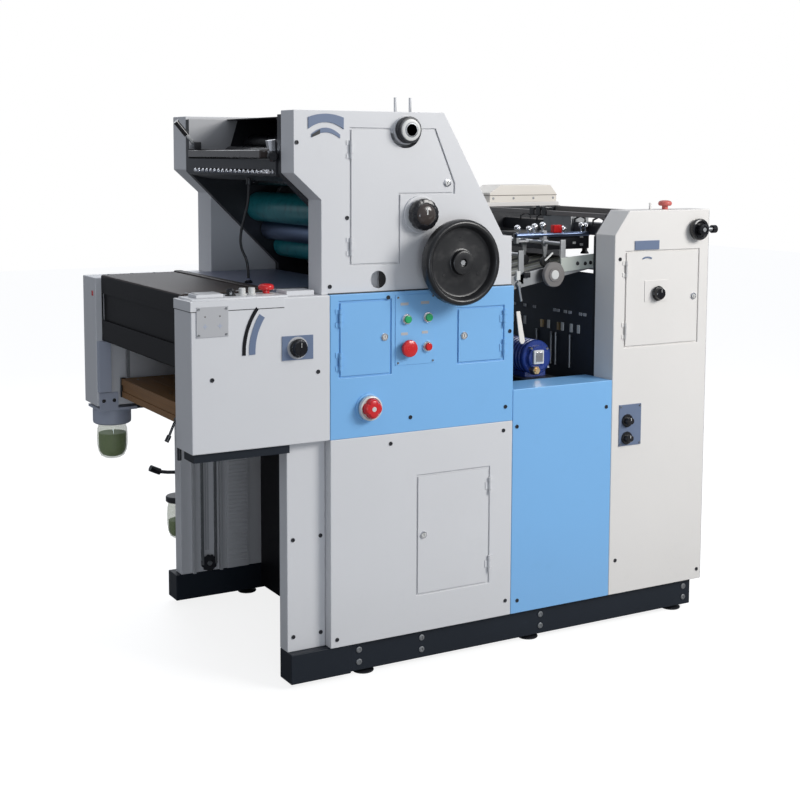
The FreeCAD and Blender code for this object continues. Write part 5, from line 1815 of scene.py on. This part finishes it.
def bow(start: Pair, crown: Pair, stop: Pair, count: int = 11) -> list[Pair]:
    """Points of a shallow arch through three corners.

    Args:
        start: its first end.
        crown: its highest point.
        stop: its other end.
        count: how many points.

    Returns:
        The points from start to stop.
    """
    points = []
    for k in range(count):
        t = k / (count - 1)
        line = start[1] + (stop[1] - start[1]) * t
        lift = (crown[1] - (start[1] + stop[1]) / 2) * 4 * t * (1 - t)
        points.append((start[0] + (stop[0] - start[0]) * t, line + lift))
    return points


# ------------------------------------------------------------------ feeder end

@dataclass
class Feeder:
    """Register board, wheels, front plate, bars, suction head, pump, pile board and hood."""

    low: float = 1058.0
    rise: float = 82.0 / 445.0
    tapes: tuple[float, ...] = (230.0, 345.0, 460.0, 575.0, 690.0)
    wheel_bars: Pair = (850.0, 1010.0)
    side_lay: Pair = (957.0, 1114.0)
    pump_axis: Pair = (940.0, 845.0)
    valve_axis: Pair = (922.0, 808.0)

    def under(self, x: float) -> float:
        """Height of the register board's underside at a station."""
        return self.low + self.rise * (x - 700)

    def slope(self, maker: Maker, xs: Pair, above: Pair, ys: Pair, finish: Finish,
              edge: float = 0.0) -> None:
        """A slab that follows the register board's slope."""
        one, two = self.under(xs[0]), self.under(xs[1])
        maker.pad(Axis.Y, [(xs[0], one + above[0]), (xs[1], two + above[0]),
                           (xs[1], two + above[1]), (xs[0], one + above[1])], ys, finish, edge)

    def build(self) -> None:
        """Build every piece."""
        self.board()
        self.rails()
        self.wheels()
        self.front()
        self.bars()
        self.pile()
        self.head()
        self.pump()
        self.hood()

    def board(self) -> None:
        """The sloping board with its rounded lip and five conveyor tapes."""
        maker = Maker("register_table")
        self.slope(maker, (700, 1145), (0, 12), (165, 755), OLIVE, 1.2)
        for y in self.tapes:
            self.slope(maker, (703, 1142), (11.6, 13.4), (y - 13, y + 13), CABLE, 0.3)
        for y in (180, 288, 403, 518, 633, 740):
            self.slope(maker, (706, 1138), (11.6, 12.8), (y - 8, y + 8), BRIGHT, 0.2)
        maker.place(Body.PRESS, "register_board")

    def rails(self) -> None:
        """Side rails with sight holes, tie rods, uprights and the side lay's wheel."""
        maker = Maker("register_rails")
        for ys in SIDE_RAILS:
            self.slope(maker, (703, 1147), (-10, 32), ys, DULL, 1.0)
        maker.pad(Axis.Y, [(998, 1118), (1140, 1130), (1138, 1174), (998, 1163)], (124, 130.4),
                  SAGE, 1.6)
        maker.pad(Axis.Y, [(1138, 1128), (1147, 1128), (1147, 1178), (1138, 1178)],
                  (123, 131), BLACK, 1.6)
        for x, z in ((1063, 1144), (1093, 1143), (1114, 1145)):
            maker.turn(Axis.Y, (x, z), [(0, 123.2), (6, 123.2), (6.6, 124.4), (0, 124.4)], BLACK,
                       24)
        for x in (708, 1130):
            maker.rod(Axis.Y, (x, self.under(x) - 8.5), INSIDE, 8, BRIGHT)
        for x in self.wheel_bars:
            for ys in SIDE_RAILS:
                maker.block((x - 10, x + 10), ys, (self.under(x), self.under(x) + 105), DULL, 1.4)
        maker.turn(Axis.Y, self.side_lay, [(0, 98), (22, 98), (24, 100), (38, 101), (40, 103),
                                           (40, 114), (37, 117), (18, 118), (16, 131), (0, 131)],
                   GREY_CAST, 48, lambda a: 1 - 0.03 * abs(math.sin(3 * a)))
        maker.turn(Axis.Y, self.side_lay, [(0, 96.8), (13, 96.8), (15, 98.4), (0, 98.4)], PALE, 32)
        maker.tube([(941, 131, 1157), (970, 131, 1180)], 3, PALE, 12)
        maker.place(Body.PRESS, "register_frame")

    def wheels(self) -> None:
        """Hold-down wheels on arms that hang from two cross bars."""
        maker = Maker("hold_down_set")
        arm, wheel = Shape("arm"), Shape("wheel")
        arm.pad(Axis.Y, [(-9, 9), (-9, -10), (-3, -64), (3, -64), (9, -10), (9, 9)], (-3, 3),
                DULL, 0.6)
        arm.turn(Axis.Y, (0, 0), [(6, -7), (11, -7), (12, -6), (12, 6), (11, 7), (6, 7)], DULL, 28)
        wheel.turn(Axis.Y, (0, 0), [(0, -8.6), (4, -8.6), (4, -7), (14.6, -6.6), (16, -5.4),
                                    (16, 5.4), (14.6, 6.6), (4, 7), (4, 8.6), (0, 8.6)], CABLE, 36)
        for x in self.wheel_bars:
            high = self.under(x) + 92
            maker.rod(Axis.Y, (x, high), (136, 784), 6, BRIGHT)
            maker.repeat(arm, [(x, y, high) for y in self.tapes], DULL)
            maker.repeat(wheel, [(x, y, high - 63) for y in self.tapes], CABLE, (0, 3, 0))
        maker.place(Body.PRESS, "hold_down_wheels")

    def front(self) -> None:
        """The plate before the feed pile with its stops and rods, and the levers inside."""
        maker = Maker("feeder_plate")
        maker.block((1124, 1130), INSIDE, (95, 1110), CAVITY, 0.8)
        small, tall = Shape("slot_end"), Shape("stop_end")
        small.block((-4, 1), (-7, 7), (-5, 5), PALE, 1.0)
        tall.block((-4, 1), (-6, 6), (-14, 14), PALE, 1.2)
        ys = (498, 441, 324, 305, 265, 240, 182, 160)
        maker.repeat(small, [(1124, y, 973) for y in (*ys, 560, 620, 680)], LIGHT_PLATE)
        maker.repeat(tall, [(1124, y, 922) for y in (497, 358, 280, 232, 193, 570, 650)], PALE)
        for y in (395, 300):
            maker.block((1119, 1125), (y - 7, y + 7), (908, 934), BRASS, 1.0)
        for y in (423, 339, 313, 235, 520, 600):
            maker.rod(Axis.Z, (1119, y), (790, 900), 4, DULL)
            maker.block((1119, 1125), (y - 5, y + 5), (794, 802), IRON, 0.8)
            maker.block((1119, 1125), (y - 5, y + 5), (886, 894), IRON, 0.8)
        maker.place(Body.PRESS, "feeder_front_plate")
        maker = Maker("inner_levers")
        maker.tube([(838, 126, 1088), (842, 126, 1060), (848, 126, 1034)], 5, DULL, 14)
        maker.rod(Axis.Y, (838, 1088), (121.6, 132), 8, DULL)
        maker.pad(Axis.Y, [(828, 1002), (842, 1004), (862, 908), (857, 900), (848, 900),
                           (842, 908)], (121.6, 126), BEIGE, 1.5)
        maker.block((828, 842), (121.6, 130), (1100, 1128), PALE, 2.0)
        maker.block((856, 880), (121.6, 134), (1106, 1124), BLACK, 2.0)
        maker.place(Body.PRESS)

    def bars(self) -> None:
        """The two bars across the feeder's covers, with black clamps."""
        maker = Maker("feeder_bars")
        maker.block((1166, 1186), INSIDE, (1284, 1299), GREY_CAST, 1.6)
        maker.block((1464, 1484), INSIDE, (1270, 1299), GREY_CAST, 1.6)
        for y, high in ((452, 1310), (486, 1314), (524, 1308)):
            maker.block((1163, 1189), (y - 13, y + 13), (1281, high), BLACK, 2.4)
        maker.place(Body.PRESS, "feeder_cross_bars")

    def pile(self) -> None:
        """The feed pile's board of planks on two bearers."""
        maker = Maker("feed_board")
        for k in range(4):
            maker.block((1140.6 + 85 * k, 1224.4 + 85 * k), (150, 770), (620, 650), WOOD, 1.6)
        for xs in ((1200, 1230), (1400, 1430)):
            maker.block(xs, (122.3, 797.7), (590, 621), IRON, 2.0)
        maker.place(Body.PRESS, "feed_pile_board")

    def head(self) -> None:
        """The suction beam, its valve block, four suckers and the rail that meets it."""
        maker = Maker("suction_beam")
        maker.blocks(((1235, 1290), INSIDE, (1222, 1262), IRON, 3.0),
                     ((1225, 1300), (380, 540), (1205, 1285), DULL, 3.0),
                     ((1232, 1293), (396, 524), (1284, 1290), BLACK, 2.0))
        for y in (250, 350, 570, 670):
            maker.rod(Axis.Z, (1262, y), (1172, 1230), 9, CHROME)
            maker.turn(Axis.Z, (1262, y), [(0, 1155), (14, 1155), (14, 1158), (9, 1166), (9, 1172),
                                           (0, 1172)], CABLE, 32)
            maker.tube([(1262, y, 1258), (1262, y, 1274), (1250, y + 10, 1282),
                        (1236, y + 22, 1272), (1236, y + 24, 1255)], 3.4, CABLE, 10)
        maker.block((1080, 1245), (304, 620), (1176, 1224), IRON, 2.0)
        maker.rod(Axis.X, (300, 1226), (945, 1240), 8, BLUED, 1.2)
        maker.rod(Axis.X, (312, 1206), (945, 1082), 4, LIGHT_PLATE)
        maker.block((1050, 1064), (293, 316), (1202, 1240), LIGHT_PLATE, 1.6)
        maker.block((945, 955), (296, 316), (1200, 1232), DULL, 1.6)
        ball = Shape("chrome_ball")
        ball.turn(Axis.Z, (0, 0), [(0, 11), (4.2, 10.2), (7.8, 7.8), (10.2, 4.2), (11, 0),
                                   (10.2, -4.2), (7.8, -7.8), (5, -12), (5, -22), (0, -22)],
                  CHROME, 24)
        spots = [(x, 300, z) for x, z in ((952, 1250), (998, 1246), (1020, 1254), (1052, 1258),
                                          (1134, 1244), (1210, 1254), (1228, 1252))]
        maker.repeat(ball, spots, CHROME)
        maker.block((1090, 1122), (290, 310), (1232, 1258), RED, 2.0)
        for x, z in ((1212, 1216), (1212, 1190), (1182, 1196)):
            maker.block((x - 6, x + 6), (300.6, 305), (z - 4, z + 4), PALE, 0.8)
        maker.place(Body.PRESS, "suction_head")

    def pump(self) -> None:
        """The blue vacuum pump with a ribbed body, a bright square valve and a brass union."""
        maker = Maker("vacuum_pump")
        profile = [(0, 165), (50, 165), (54, 168)]
        for k in range(9):
            y = 172 + 17 * k
            profile += [(56, y), (56, y + 8), (52.4, y + 9.6), (52.4, y + 15.4)]
        profile += [(56, 326), (50, 330), (0, 330)]
        maker.turn(Axis.Y, self.pump_axis, profile, PUMP_BLUE, 56)
        maker.turn(Axis.Y, self.pump_axis, [(0, 150), (36, 150), (40, 153), (40, 166), (0, 166)],
                   PUMP_BLUE, 48)
        maker.block((912, 950), (141, 151), (828, 872), PALE, 3.0)
        maker.block((918, 944), (138.6, 142), (834, 866), CHROME, 2.0)
        maker.turn(Axis.Y, self.valve_axis, [(0, 140), (12, 140), (14, 142), (14, 166), (0, 166)],
                   BRASS, 6)
        maker.turn(Axis.Y, self.valve_axis, [(0, 136), (8, 136), (8, 141), (0, 141)], BRASS, 24)
        for x, z in ((908, 878), (968, 874), (972, 816)):
            maker.turn(Axis.Y, (x, z), [(0, 148.6), (4, 148.6), (5, 150), (5, 168), (0, 168)],
                       CHROME, 6)
        maker.block((900, 980), (175, 320), (783, 800), PUMP_BLUE, 2.0)
        maker.block((880, 1000), (135.3, 340), (777, 783), IRON, 1.2)
        maker.place(Body.PRESS, "suction_pump")

    def hood(self) -> None:
        """The cream housing on the far feeder cover, with sloped ends on a brown plinth."""
        maker = Maker("feeder_housing")
        maker.pad(Axis.Y, [(1190, 1314), (1490, 1314), (1490, 1344), (1462, 1376), (1238, 1376),
                           (1190, 1348)], (827, 946), BEIGE, 2.4, 3)
        maker.block((1194, 1486), (830, 943), (1299, 1314.6), BROWN, 0.8)
        maker.block((1189.2, 1490.8), (826.2, 946.8), (1338, 1340), BROWN, 0.4)
        head = Shape("housing_screw")
        head.turn(Axis.Y, (0, 0), [(0, -1.6), (3.6, -1.4), (4.6, -0.4), (4.6, 0.6), (0, 0.6)],
                  IRON, 14)
        maker.repeat(head, row((1206, 827, 1328), (1474, 827, 1328), 4), DULL)
        maker.place(Body.PRESS, "feeder_hood")


@dataclass
class Jars:
    """The two glass jars, their caps and brackets, and the hoist's crank."""

    hung: Pair = (-216.0, 905.0)
    stood: Pair = (38.0, 978.0)

    def jar(self, maker: Maker, centre: Pair, radius: float, low: float, high: float,
            fill: float) -> None:
        """One round jar with its fluid.

        Args:
            maker: the piece that it joins.
            centre: its axis.
            radius: of its ball.
            low: height of its foot.
            high: height of its mouth.
            fill: height of the fluid.
        """
        tall = high - low
        shape = ((0.0, 0.0), (0.52, 0.0), (0.76, 0.06), (0.92, 0.20), (0.99, 0.38), (1.0, 0.62),
                 (0.97, 0.84), (0.90, 0.93), (0.90, 1.0), (0.0, 1.0))
        wall = [(radius * r, low + tall * t) for r, t in shape]
        core = [(max(radius * r - 5, 0.0), low + 5 + (fill - low - 5) * t) for r, t in shape[:6]]
        core += [(radius - 5, fill), (0.0, fill)]
        maker.turn(Axis.Z, centre, wall, JAR, 56)
        maker.turn(Axis.Z, centre, core, FLUID, 56)

    def build(self) -> None:
        """Build every piece."""
        maker = Maker("glass_jars")
        self.jar(maker, self.hung, 49, 505, 618, 586)
        self.jar(maker, self.stood, 42, 185, 310, 246)
        maker.place(Body.PRESS, "fluid_jars")
        maker = Maker("jar_caps")
        maker.turn(Axis.Z, self.hung, [(0, 618), (54, 618), (60, 622), (61, 628), (61, 664),
                                       (58, 671), (52, 673), (0, 673)], SENSOR, 80,
                   ripple(0.008, 36))
        maker.block((-283, -160), (817, 940), (672, 681), SENSOR, 1.4)
        maker.block((-283, -222), (817, 823), (680, 732), SENSOR, 1.2)
        for x in (-270, -236):
            maker.turn(Axis.Y, (x, 706), [(0, 815.4), (5, 815.4), (6, 816.4), (6, 818), (0, 818)],
                       BLACK, 20)
        maker.turn(Axis.Z, self.stood, [(0, 310), (43, 310), (46, 313), (46, 327), (43, 330),
                                        (0, 330)], IRON, 64)
        maker.block((20, 56), (917, 975), (312, 326), IRON, 1.6)
        maker.rod(Axis.Z, self.stood, (325, 422), 8, DULL)
        maker.turn(Axis.Z, self.stood, [(0, 398), (13, 398), (14, 400), (14, 418), (12, 422),
                                        (0, 422)], IRON, 36)
        maker.tube([(38, 978, 410), (-2, 978, 414), (-34, 978, 420)], 6, IRON, 14)
        maker.tube([(-30, 978, 419), (-34, 978, 420.6), (-60, 978, 433), (-64, 978, 435)], 11,
                   BLACK, 22)
        maker.place(Body.PRESS, "jar_brackets")


# ------------------------------------------------------------------ all together

BY_SLOT = {"painted_white": WHITE, "painted_warm": WARM, "painted_blue": BLUE,
           "base_slate": SLATE, "dark_iron": IRON, "dark_sheet": SHEET, "bright_steel": BRIGHT,
           "chrome_steel": CHROME, "ink_rubber": GREEN, "steel_blue": BLUED,
           "black_plastic": BLACK, "red_plastic": RED, "grey_plate": PLATE_GREY,
           "board_wood": WOOD, "jar_glass": JAR, "cable_rubber": CABLE, "pump_blue": PUMP_BLUE,
           "beige_paint": BEIGE}


def dress_nodes() -> None:
    """Give every frame node that still shows the finish of its slot."""
    for entry in frame["record"]["subparts"]:
        node = frame["nodes"][entry["node"]]
        node.data.materials.clear()
        node.data.materials.append(BY_SLOT[entry["material_slot"]].material())


def main() -> None:
    """Build the press."""
    logging.basicConfig(level=logging.INFO, format="%(message)s")
    stage = Stage()
    stage.camera()
    dress_nodes()
    for part in (Cable(), Base(), Covers(), Delivery(), Tower(), Handwheel(), Knobs(), Buttons(),
                 Feeder(), Jars()):
        part.build()
    stage.build()


if __name__ == "__main__":
    main()
